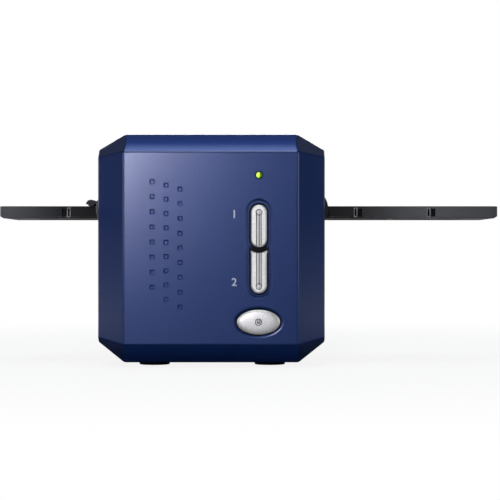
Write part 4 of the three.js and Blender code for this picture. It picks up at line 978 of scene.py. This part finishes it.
# The power button is a domed oval cap in the same silver. A small round bed is sunk into the top of
# the dome, and the power mark stands raised in it. The bed is painted a darker silver, standing for
# the shade in it.
DOME_TOP = FRONT - 0.6 * MM
DOME_EDGE = DOME_TOP + 0.88 * MM
DOME_RINGS = ((0.35, 0.3), (0.5, 0.2), (0.9, 0.16), (1.4, 0.12), (2.0, 0.07), (2.2, 0.03))
MARK_BED = DOME_TOP + 0.28 * MM
MARK_BED_RADIUS = 1.85 * MM
MARK_RADIUS = 1.12 * MM
MARK_LINE = 0.27 * MM
MARK_GAP_HALF = 0.55 * MM
MARK_BAR_HALF = 0.24 * MM
power_cap = disc("power_cap", POWER_HALF_WIDTH, POWER_X, POWER_Z, DOME_EDGE, CAP_REAR, 96)
edit(power_cap, "FACE", facing_front)
inset_rings(DOME_RINGS)
edit(power_cap, "VERT")
squash = (1, 1, POWER_HALF_HEIGHT / POWER_HALF_WIDTH)
bpy.ops.transform.resize(value=squash, center_override=(POWER_X, 0, POWER_Z))
leave_edit()
carve(
    power_cap, oval_bar("power_flange", FLANGE_GROW, CAP_REAR, FLANGE_REAR),
    disc("power_stem", STEM_RADIUS, POWER_X, POWER_Z, FLANGE_REAR - MM, STEM_REAR, 24),
    operation="UNION",
)
carve(power_cap, disc("mark_bed", MARK_BED_RADIUS, POWER_X, POWER_Z, CAP_FRONT - MM, MARK_BED, 40))
clear_selection()
bpy.ops.mesh.primitive_torus_add(
    location=(POWER_X, MARK_BED - 0.1 * MM, POWER_Z - 0.1 * MM),
    rotation=(math.radians(90), 0, 0), major_radius=MARK_RADIUS, minor_radius=MARK_LINE,
    major_segments=40, minor_segments=12,
)
mark = name_piece("mark_ring")
carve(mark, block(
    "mark_gap", (POWER_X - MARK_GAP_HALF, CAP_FRONT - MM, POWER_Z + 0.2 * MM),
    (POWER_X + MARK_GAP_HALF, CAP_FRONT + 2 * MM, POWER_Z + 2 * MM),
))
bar = block(
    "mark_bar", (POWER_X - MARK_BAR_HALF, MARK_BED - 0.36 * MM, POWER_Z),
    (POWER_X + MARK_BAR_HALF, MARK_BED + 0.3 * MM, POWER_Z + 1.6 * MM),
)
carve(power_cap, mark, bar, operation="UNION")
tidy_mesh(power_cap, 0.2)
dress(power_cap, "power_button", 0.04, 1, 60, 40)


def in_mark_bed(point):
    away = math.hypot(point.x - POWER_X, point.z - POWER_Z)
    return away < MARK_BED_RADIUS + 0.05 * MM and CAP_FRONT < point.y < MARK_BED + 0.02 * MM


# Painted shade: the sunk bed round the mark takes the darker silver copy.
silver_in_front(power_cap, bed_shade_silver, in_mark_bed, MARK_BED - 0.02 * MM, MARK_BED)

# A bridge crosses the scan buttons' opening between them, set back from the face, and follows the
# round end of the upper button and the hollow end of the lower one. Its black plastic stands for
# the deep shade between the buttons: painted shade.
BRIDGE_HALF = WEB_HALF + 0.1 * MM
BRIDGE_CLEAR = 0.3 * MM


def black_filler(piece, width, smoothing):
    """A small black piece, which stands for no CAD node."""
    soften(piece, width)
    smooth(piece, smoothing)
    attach(piece, "root")
    black_abs.on(piece)


bridge = block(
    "button_bridge", (SCAN_X - BRIDGE_HALF, FRONT + 1.5 * MM, SCAN_ARC_Z - 7 * MM),
    (SCAN_X + BRIDGE_HALF, FRONT + 2.2 * MM, SCAN_ARC_Z - 3.1 * MM),
)
for outline in (upper_outline, lower_outline):
    carve(bridge, outline("clear", BRIDGE_CLEAR, FRONT - MM, FRONT + 6 * MM))
tidy_mesh(bridge)
black_filler(bridge, 0.1 * MM, 35)

# The status lamp is a light guide of clear green plastic with a domed end, lit from behind on
# its left side. A sleeve of black plastic lines the hole round it.
GUIDE_RADIUS = 1.48 * MM
GUIDE_FRONT = FRONT + 0.42 * MM
GUIDE_RINGS = ((0.16, 0.17), (0.3, 0.13), (0.42, 0.08), (0.35, 0.03))
SLEEVE_RADIUS, SLEEVE_BORE = 2.1 * MM, 1.5 * MM
lamp_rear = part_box("status_lamp")[1].y
lamp_guide = disc("lamp_guide", GUIDE_RADIUS, LAMP_X, LAMP_Z, GUIDE_FRONT, lamp_rear, 32)
edit(lamp_guide, "FACE", facing_front)
inset_rings(GUIDE_RINGS)
leave_edit()
smooth(lamp_guide, 50)
stand_for(lamp_guide, "status_lamp")
guide_green = Finish("green_light_guide", Roughness=0.12, IOR=1.49, Emission_Strength=0.85)
across = guide_green.place(1 / (3 * MM), centre=(LAMP_X, 0, LAMP_Z))
speck = guide_green.noise(guide_green.place(), 700.0)
lit = guide_green.math("ADD", guide_green.axes(across)["X"], speck)
body_tones = ((0.1, (226, 246, 110)), (0.42, (160, 214, 44)), (0.6, (70, 120, 24)))
glow_tones = ((0.1, (220, 244, 96)), (0.45, (150, 206, 34)), (0.6, (44, 84, 10)))
guide_green.feed(guide_green.ramp(lit, *body_tones, (0.9, (60, 110, 22))))
guide_green.feed(guide_green.ramp(lit, *glow_tones, (0.9, (60, 110, 16))), "Emission Color")
guide_green.on(lamp_guide)

sleeve_front, sleeve_rear = FRONT + 0.15 * MM, FRONT + 2.2 * MM
sleeve = disc("lamp_sleeve", SLEEVE_RADIUS, LAMP_X, LAMP_Z, sleeve_front, sleeve_rear)
carve(sleeve, disc("sleeve_bore", SLEEVE_BORE, LAMP_X, LAMP_Z, FRONT - MM, FRONT + 4 * MM))
black_filler(sleeve, 0.08 * MM, 40)

# Behind the buttons a small board carries three push switches, each with a white plunger.
# The board is glass fibre under green lacquer, screwed to four posts of the bezel.
board_green = Finish("green_circuit_board", Roughness=0.4)
where = board_green.place()
grained(board_green, where, (0.28, 0.42), 1500.0, 0.01)
slanted = board_green.place(1.0, (math.radians(90), 0, math.radians(45)))
tracks = board_green.node("ShaderNodeTexBrick", {
    "Vector": slanted, "Scale": 170.0, "Mortar Size": 0.09, "Color1": linear(22, 84, 46),
    "Color2": linear(18, 74, 40), "Mortar": linear(44, 122, 66),
}).outputs["Color"]
spots = board_green.node("ShaderNodeTexVoronoi", {"Vector": where, "Scale": 420.0})
pads = board_green.remap(spots.outputs["Distance"], 0.16, 0.12)
board_tone = board_green.mix(pads, tracks, linear(186, 190, 188))
rubbed(board_green, where, board_tone, (150, 158, 116), 0.4, 0.9, 300.0)
board_green.on(dressed("panel_board", 0.12, 1))
white_plastic = worn_finish(
    "ivory_nylon", (0.36, 0.52), (1400, 0.02, 80),
    ((214, 210, 196), (232, 229, 218), (196, 190, 172)), (0.3, 0.6, 300), Roughness=0.45,
)
for switch in ("upper_scan", "lower_scan", "power"):
    black_abs.on(dressed(switch + "_switch", 0.25))
    white_plastic.on(dressed(switch + "_plunger", 0.2))

# The film holder's base is a tray of charcoal ABS with rounded ends. Each click notch in its
# front edge is a narrow slot and a wider pocket, with a thin raised rim round the slot.
HOLDER_FRONT = -101 * MM
HOLDER_LOW = 76 * MM
HOLDER_TOP = 82.3 * MM
HOLDER_HALF = 130 * MM
FRAME_PITCH = 38 * MM
FRAME_CENTRES = [(i - 2.5) * FRAME_PITCH for i in range(6)]
SLOT_EDGES = (1.9 * MM, 0.85 * MM)
SLOT_LOW, SLOT_HIGH = HOLDER_LOW + 0.9 * MM, HOLDER_LOW + 5.1 * MM
RIM = 0.32 * MM
RIM_PROUD = 0.14 * MM
LEDGE_DEPTH = 0.28 * MM
LEDGE_HEIGHT = 0.85 * MM

base = worked_copy("holder_base")
ledge_half = HOLDER_HALF + MM
carve(base, block(
    "ledge", (-ledge_half, HOLDER_FRONT - MM, HOLDER_LOW - MM),
    (ledge_half, HOLDER_FRONT + LEDGE_DEPTH, HOLDER_LOW + LEDGE_HEIGHT),
))
tidy_mesh(base, 0.8)
soften(base, 0.16 * MM, 3)
for centre in FRAME_CENTRES:
    left, right = sorted(centre - math.copysign(edge, centre) for edge in SLOT_EDGES)
    rim = block(
        "rim", (left - RIM, HOLDER_FRONT - RIM_PROUD, SLOT_LOW - RIM),
        (right + RIM, HOLDER_FRONT + 0.3 * MM, SLOT_HIGH + RIM),
    )
    bore_low = (left, HOLDER_FRONT - MM, SLOT_LOW)
    carve(rim, block("rim_bore", bore_low, (right, HOLDER_FRONT + MM, SLOT_HIGH)))
    carve(base, rim, operation="UNION")
tidy_mesh(base, 0.3)
dress(base, "holder_base", 0.05, 1, 60, 40)

holder_plastic = Finish("charcoal_holder_abs_painted_shade", Roughness=0.4, Specular_IOR_Level=0.06)
where = holder_plastic.place()
uneven = grained(holder_plastic, where, (0.36, 0.48), 1300.0, 0.012)
# Painted light and shade: the tone runs along the holder, lighter at both ends and dark near the
# case, where the case's shadow falls on it.
along = holder_plastic.remap(holder_plastic.axes(where)["X"], -HOLDER_HALF, HOLDER_HALF)
along = holder_plastic.math("ADD", along, holder_plastic.remap(uneven, 0, 1, -0.03, 0.03))
holder_painted_light_and_shade = holder_plastic.ramp(
    along, (0.0, (84, 85, 87)), (0.06, (66, 67, 69)), (0.12, (38, 38, 40)), (0.2, (24, 24, 25)),
    (0.6, (22, 22, 23)), (0.72, (40, 40, 40)), (0.85, (86, 86, 87)), (1.0, (72, 72, 74)),
)
rubbed(holder_plastic, where, holder_painted_light_and_shade, (124, 124, 124), 0.3, 0.8, 120.0)
holder_plastic.on(base)
# Painted highlight: the thin rim round each slot is a lighter grey, standing for the light it
# catches.
rim_painted_highlight = worn_finish(
    "rim_abs_painted_highlight", (0.24, 0.36), (1300, 0.01),
    ((112, 112, 113), (134, 134, 134), (160, 160, 160)), (0.2, 0.5, 200), Roughness=0.3,
)
base.data.materials.append(black_abs.material)
base.data.materials.append(rim_painted_highlight.material)


def in_notch(point):
    """Whether a point is in a click notch's slot or in the pocket beside it."""
    outward = [(point.x - centre) * math.copysign(1, centre) for centre in FRAME_CENTRES]
    return SLOT_LOW - 0.05 * MM < point.z < SLOT_HIGH + 0.05 * MM and any(
        -1.95 * MM < away < -0.8 * MM or -0.2 * MM < away < 2.25 * MM for away in outward
    )


# Painted shade: the inside of each notch's slot and pocket takes black plastic, standing for the
# shade in it.
for face in base.data.polygons:
    behind = face.center.y - HOLDER_FRONT
    if behind < -0.05 * MM:
        face.material_index = 2
    elif 0.1 * MM < behind < 2.6 * MM and in_notch(face.center):
        face.material_index = 1

# The lid is black ABS with a window over each frame, numbered in white beside it. It turns on
# a long steel pin at the rear of the base, and clamps the strip of film.
FILM_Y = -71 * MM
WINDOW_LENGTH, WINDOW_WIDTH = 36 * MM, 24 * MM
WINDOW_CHAMFER = 0.8 * MM
WINDOW_SPREAD = (1 + 2 * WINDOW_CHAMFER / WINDOW_LENGTH, 1 + 2 * WINDOW_CHAMFER / WINDOW_WIDTH, 1)
FRAME_NUMBER_Y = -87.4 * MM
FRAME_NUMBER_SIZE = 4.6 * MM
lid = worked_copy("holder_lid")
for centre in FRAME_CENTRES:
    left, right = centre - WINDOW_LENGTH / 2, centre + WINDOW_LENGTH / 2
    funnel = block(
        "funnel", (left, FILM_Y - WINDOW_WIDTH / 2, HOLDER_TOP - WINDOW_CHAMFER),
        (right, FILM_Y + WINDOW_WIDTH / 2, HOLDER_TOP),
    )
    edit(funnel, "FACE", lambda _, normal: normal.z > 0.9)
    middle = (centre, FILM_Y, HOLDER_TOP)
    bpy.ops.transform.resize(value=WINDOW_SPREAD, center_override=middle)
    extrude(0, 0, MM)
    leave_edit()
    carve(lid, funnel)
tidy_mesh(lid)
dress(lid, "holder_lid", 0.12, 2, 30)
lid_plastic = worn_finish(
    "black_lid_abs", (0.38, 0.55), (1100, 0.04, 50), ((20, 20, 22), (32, 32, 34), (84, 84, 86)),
    (0.5, 0.7, 120), Roughness=0.45, Specular_IOR_Level=0.3,
)
lid_plastic.on(lid)
white_ink = Finish("white_ink", Roughness=0.6)
grained(white_ink, white_ink.place(), (0.5, 0.7), 2400.0, 0.004)
ink_cloud = white_ink.noise(white_ink.place(), 900.0, 4.0)
white_ink.feed(white_ink.ramp(ink_cloud, (0.35, (196, 196, 192)), (0.55, (226, 226, 222))))
for index, centre in enumerate(FRAME_CENTRES):
    count = str(index + 1)
    place = (centre, FRAME_NUMBER_Y, HOLDER_TOP + 0.012 * MM)
    number = written("frame_number_" + count, count, FRAME_NUMBER_SIZE, place, 0, "CENTER", 0, 5)
    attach(number, "film_holder")
    white_ink.on(number)
bright_steel.on(dressed("holder_hinge_pin", 0.2))

# The film strip is acetate with six negatives and a row of square holes along each edge,
# eight to a frame. One step of film with its two holes is made, and repeated 48 times.
STEP = 4.75 * MM
STEPS = 48
HOLE_LENGTH, HOLE_WIDTH = 1.98 * MM, 2.8 * MM
HOLE_INSET = 3.4 * MM
WELD = 0.01 * MM
film_low, film_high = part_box("film_strip")
film = block("film_negatives", film_low, (film_low.x + STEP, film_high.y, film_high.z))
hole_left = film_low.x + (STEP - HOLE_LENGTH) / 2
hole_right = film_low.x + (STEP + HOLE_LENGTH) / 2
for y in (film_low.y + HOLE_INSET, film_high.y - HOLE_INSET):
    hole = block(
        "hole", (hole_left, y - HOLE_WIDTH / 2, film_low.z - MM),
        (hole_right, y + HOLE_WIDTH / 2, film_high.z + MM),
    )
    edit(hole, "EDGE", lambda _, way: abs(way.z) > MM)
    bevel(0.5 * MM, 2)
    leave_edit()
    carve(film, hole)
inside = (film_low.x + 0.5 * MM, film_low.x + STEP - 0.5 * MM)
edit(film, "FACE", lambda middle, normal: abs(normal.x) > 0.9
     and not inside[0] < middle.x < inside[1])
bpy.ops.mesh.delete(type="ONLY_FACE")
leave_edit()
row = film.modifiers.new("forty_eight_steps", "ARRAY")
row.count = STEPS
row.use_relative_offset = False
row.use_constant_offset = True
row.constant_offset_displace = (STEP, 0, 0)
row.use_merge_vertices = True
row.merge_threshold = WELD
finish_modifier(film)
edit(film)
bpy.ops.mesh.remove_doubles(threshold=WELD)
bpy.ops.mesh.fill_holes(sides=6)
bpy.ops.mesh.normals_make_consistent(inside=False)
leave_edit()
smooth(film, 20)
stand_for(film, "film_strip")

negative = Finish("negative_film", Roughness=0.15, Transmission_Weight=0.35, IOR=1.48)
spot = negative.axes(negative.place(1 / FRAME_PITCH, centre=(film_low.x, FILM_Y, 0)))
along = negative.math("SUBTRACT", negative.math("FRACT", spot["X"], 1.0), 0.5)
in_length = negative.remap(negative.math("ABSOLUTE", along), 0.477, 0.47)
in_width = negative.remap(negative.math("ABSOLUTE", spot["Y"]), 0.318, 0.312)
picture = negative.math("MULTIPLY", in_length, in_width)
clouds = negative.noise(negative.place(60.0, (0, 0, 0.4)), 1.0, 7.0, 1.2)
density = negative.ramp(
    clouds, (0.3, (46, 22, 14)), (0.48, (108, 56, 30)), (0.6, (70, 48, 40)), (0.72, (168, 104, 60))
)
negative.feed(negative.mix(picture, linear(176, 92, 44), density))
scratches = negative.noise(negative.place(260.0), 1.0, 3.0)
negative.feed(negative.remap(scratches, 0, 1, 0.08, 0.26), "Roughness")
negative.on(film)

# The film track is a black ABS bed with two rails and a window over the optics. In its front
# rail sits the click spring, a bent strip of spring steel that snaps into the notches.
black_abs.on(dressed("film_track", 0.25))
spring_steel.on(dressed("click_spring", 0.08, 2, 40, 50))

# The chassis is one sheet of zinc-plated steel, 1.2 mm thick, cut and folded up into a trough,
# with pillars for the main board. The motor's bracket is bent from the same sheet.
plated_steel = Finish("zinc_plated_sheet", Metallic=0.9)
where = plated_steel.place()
grained(plated_steel, where, (0.3, 0.5), 1500.0, 0.01, 45.0)
spangle = plated_steel.node("ShaderNodeTexVoronoi", {"Vector": where, "Scale": 140.0})
spangle_tones = ((0.0, (150, 154, 158)), (0.5, (168, 170, 172)), (1.0, (186, 186, 184)))
zinc = plated_steel.ramp(spangle.outputs["Color"], *spangle_tones)
rolled = {"Vector": where, "Scale": (40.0, 1600.0, 1600.0)}
brushed = plated_steel.noise(plated_steel.node("ShaderNodeMapping", rolled).outputs[0], 1.0)
zinc = plated_steel.mix(brushed, zinc, linear(146, 150, 156))
rubbed(plated_steel, where, zinc, (206, 204, 196), 0.6, 0.7, 120.0)
plated_steel.on(dressed("chassis", 0.2), dressed("motor_bracket", 0.2))

# The drive: a ground guide rod, a lead screw with a nylon gear, and a stepper motor in a
# drawn steel can, whose brass pinion turns the gear.
bright_steel.on(dressed("guide_rod", 0.3, 2, 60, 40))
white_plastic.on(dressed("screw_gear", 0.12, 1, 60, 25))
brass = worn_finish(
    "turned_brass", (0.2, 0.36), (2200, 0.006, 150),
    ((176, 134, 62), (206, 166, 88), (228, 200, 132)), (0.2, 0.7, 300), Metallic=0.95,
)
brass.on(dressed("motor_pinion", 0.05, 1, 60, 25))

# The lead screw's thread is one groove that winds from the front upright to the rear one.
# The rod is drawn out ring by ring, and its corners are moved in where the groove passes.
SCREW_RADIUS = 3 * MM
SCREW_SIDES = 24
SCREW_CHAMFER, SCREW_CHAMFER_LENGTH = 0.3 * MM, 0.4 * MM
THREAD_DEPTH = 0.45 * MM
THREAD_HALF = 0.34
THREAD_LEAD = 4 * MM
RING_STEP = THREAD_LEAD / 8
THREAD_START, THREAD_END = -100 * MM, 58 * MM
screw_low, screw_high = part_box("lead_screw")
screw_x, screw_z = (screw_low.x + screw_high.x) / 2, (screw_low.z + screw_high.z) / 2
clear_selection()
bpy.ops.mesh.primitive_circle_add(
    vertices=SCREW_SIDES, radius=SCREW_RADIUS, location=(screw_x, screw_low.y, screw_z),
    rotation=(math.radians(90), 0, 0),
)
lead_screw = name_piece("lead_screw_thread")
edit(lead_screw)
bpy.ops.mesh.fill()
leave_edit()
rings = [screw_low.y, screw_low.y + SCREW_CHAMFER_LENGTH, THREAD_START]
ring_count = int((THREAD_END - THREAD_START) / RING_STEP)
rings += [THREAD_START + (i + 1) * THREAD_LEAD / 8 for i in range(ring_count)]
rings += [THREAD_END + MM, screw_high.y - SCREW_CHAMFER_LENGTH, screw_high.y]
for before, after in zip(rings, rings[1:]):
    edit(lead_screw, "VERT", lambda middle, _: abs(middle.y - before) < WELD)
    bpy.ops.mesh.select_mode(type="EDGE")
    bpy.ops.mesh.extrude_edges_move(TRANSFORM_OT_translate={"value": (0, after - before, 0)})
edit(lead_screw, "VERT", lambda middle, _: middle.y > screw_high.y - WELD)
bpy.ops.mesh.edge_face_add()
bpy.ops.mesh.select_all(action="SELECT")
bpy.ops.mesh.normals_make_consistent(inside=False)
leave_edit()
for corner in lead_screw.data.vertices:
    y = corner.co.y
    across, up = corner.co.x - screw_x, corner.co.z - screw_z
    radius = SCREW_RADIUS
    if THREAD_START < y < THREAD_END + 0.5 * MM:
        phase = (math.atan2(up, across) / (2 * math.pi) + (y - THREAD_START) / THREAD_LEAD) % 1
        radius -= THREAD_DEPTH * max(0.0, 1 - abs(phase - 0.5) / THREAD_HALF)
    elif y < screw_low.y + WELD or y > screw_high.y - WELD:
        radius -= SCREW_CHAMFER
    share = radius / math.hypot(across, up)
    corner.co.x, corner.co.z = screw_x + across * share, screw_z + up * share
smooth(lead_screw, 60)
stand_for(lead_screw, "lead_screw")
bright_steel.on(lead_screw)

# The motor's can is drawn steel, with a waist where its two halves meet, a bore for the
# shaft in front and a dished cap behind.
CAN_RADIUS = 17.5 * MM
CAN_REAR_RINGS = ((1.4, 0.0), (0.5, -0.6), (9.0, 0.0), (0.6, 0.5))
CAN_FRONT_RINGS = ((0.9, 0.0),)
SHAFT_BORE, SHAFT_DEPTH = 2.15 * MM, 8.3 * MM
WAIST_RADIUS = 17.2 * MM
motor_low, motor_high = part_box("stepper_motor")
motor_x, motor_z = (motor_low.x + motor_high.x) / 2, (motor_low.z + motor_high.z) / 2
front, rear = motor_low.y, motor_high.y
motor = disc("stepper_can", CAN_RADIUS, motor_x, motor_z, front, rear, 96)
edit(motor, "FACE", facing_rear)
inset_rings(CAN_REAR_RINGS)
edit(motor, "FACE", facing_front)
inset_rings(CAN_FRONT_RINGS)
leave_edit()
carve(motor, disc("shaft_bore", SHAFT_BORE, motor_x, motor_z, front - MM, front + SHAFT_DEPTH, 32))
waist = disc("waist", 19 * MM, motor_x, motor_z, front + 10.4 * MM, front + 11.3 * MM, 96)
carve(waist, disc("waist_core", WAIST_RADIUS, motor_x, motor_z, front, rear, 96))
carve(motor, waist)
plated_steel.on(dress(motor, "stepper_motor", 0.3, 3, 50))

# The carriage: a black optics box on brass bushings and a brass drive nut, with a steel cover
# that has a slit under the film. A lamp arm reaches over the film from its rear.
black_abs.on(dressed("optics_housing", 0.2), dressed("lamp_arm", 0.5, 3))
plated_steel.on(dressed("optics_cover", 0.2))
for node in ("front_bushing", "rear_bushing", "drive_nut"):
    brass.on(dressed(node, 0.25, 2, 60, 40))
mirror_glass = worn_finish(
    "front_silvered_mirror", (0.02, 0.07), (400, 0.0004, 60),
    ((214, 218, 222), (226, 230, 234), (120, 132, 130)), (0.5, 0.9, 200), Metallic=1.0,
)
mirror_glass.on(dressed("scan_mirror", 0.2, 1))
black_abs.on(dressed("lens_barrel", 0.4, 2, 60, 40))
diffuser = worn_finish(
    "opal_diffuser", (0.3, 0.5), (900, 0.01, 40),
    ((226, 228, 222), (242, 243, 238), (200, 202, 196)), (0.4, 0.5, 200),
    Roughness=0.35, Transmission_Weight=0.2,
)
diffuser.on(dressed("lamp_diffuser", 0.5, 3))
board_green.on(dressed("sensor_board", 0.12, 1))
chip_black = worn_finish(
    "chip_epoxy", (0.5, 0.7), (2600, 0.03, 200), ((24, 25, 26), (36, 37, 38), (70, 70, 70)),
    (0.2, 0.5, 400), Roughness=0.6,
)
chip_black.on(dressed("image_sensor", 0.15, 1), dressed("processor_chip", 0.2))

# The electronics: the main board on the chassis pillars, and a steel USB socket and a black
# power socket soldered to its rear edge, flush with the rear panel.
board_green.on(dressed("main_board", 0.12, 1))
plated_steel.on(dressed("usb_socket", 0.15))
black_abs.on(dressed("power_socket", 0.15))

# A flat cable of eleven printed conductors between two films joins the sensor board on the carriage
# to the main board. It is drawn in one fixed course; the real cable bends as the carriage travels.
CABLE_X = -40 * MM
CABLE_WIDTH = 14 * MM
CABLE_THICK = 0.3 * MM
CABLE_BEND = 6 * MM
CABLE_HIGH, CABLE_LOW = 38 * MM, 14.9 * MM
CABLE_START, CABLE_END = 40.1 * MM, 78.1 * MM
BEND_STEPS, DROP_STEPS, FLAT_STEPS = 12, 6, 8


def cable_line():
    """The cable's course as depth and height, from the sensor board to the main board."""
    bend_y = CABLE_START + CABLE_BEND
    down_y = bend_y + CABLE_BEND
    flat_y = down_y + CABLE_BEND
    turns = [math.radians(90 * step / BEND_STEPS) for step in range(BEND_STEPS + 1)]
    drop = CABLE_HIGH - CABLE_LOW - 2 * CABLE_BEND
    points = [(CABLE_START, CABLE_HIGH)]
    for turn in turns[1:]:
        high = CABLE_HIGH - CABLE_BEND * (1 - math.cos(turn))
        points.append((bend_y + CABLE_BEND * math.sin(turn), high))
    for step in range(1, DROP_STEPS):
        points.append((down_y, CABLE_HIGH - CABLE_BEND - step / DROP_STEPS * drop))
    for turn in turns:
        low = CABLE_LOW + CABLE_BEND * (1 - math.sin(turn))
        points.append((down_y + CABLE_BEND * (1 - math.cos(turn)), low))
    for step in range(1, FLAT_STEPS + 1):
        points.append((flat_y + (CABLE_END - flat_y) * step / FLAT_STEPS, CABLE_LOW))
    return points


line = cable_line()
clear_selection()
bpy.ops.mesh.primitive_plane_add(size=1, location=(CABLE_X, *line[0]))
cable = bpy.context.object
cable.scale = (CABLE_WIDTH, 0.1 * MM, 1)
cable = name_piece("flat_cable")
edit(cable, "VERT", lambda middle, _: middle.y > line[0][0])
bpy.ops.mesh.delete(type="VERT")
leave_edit()
first_edge = (line[0][0] - 0.05 * MM, line[0][1])
for (y0, z0), (y1, z1) in zip([first_edge] + line[1:], line[1:]):
    edit(cable, "EDGE", lambda middle, _: abs(middle.y - y0) < 0.02 * MM
         and abs(middle.z - z0) < 0.02 * MM)
    extrude(0, y1 - y0, z1 - z0)
leave_edit()
films = cable.modifiers.new("two_films", "SOLIDIFY")
films.thickness = CABLE_THICK
films.offset = 0
finish_modifier(cable)
edit(cable)
bpy.ops.mesh.normals_make_consistent(inside=False)
leave_edit()
smooth(cable, 50)
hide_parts("ribbon_cable")
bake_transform(cable)
cable_film = Finish("flat_cable_film", Roughness=0.35)
grained(cable_film, cable_film.place(), (0.3, 0.45), 900.0, 0.008)
stripes = cable_film.node(
    "ShaderNodeTexWave", {"Vector": cable_film.place(centre=(CABLE_X, 0, 0)), "Scale": 125.0},
    wave_type="BANDS", bands_direction="X",
).outputs["Fac"]
cable_film.feed(cable_film.ramp(stripes, (0.35, (226, 226, 222)), (0.6, (170, 172, 172))))
cable_film.on(cable)
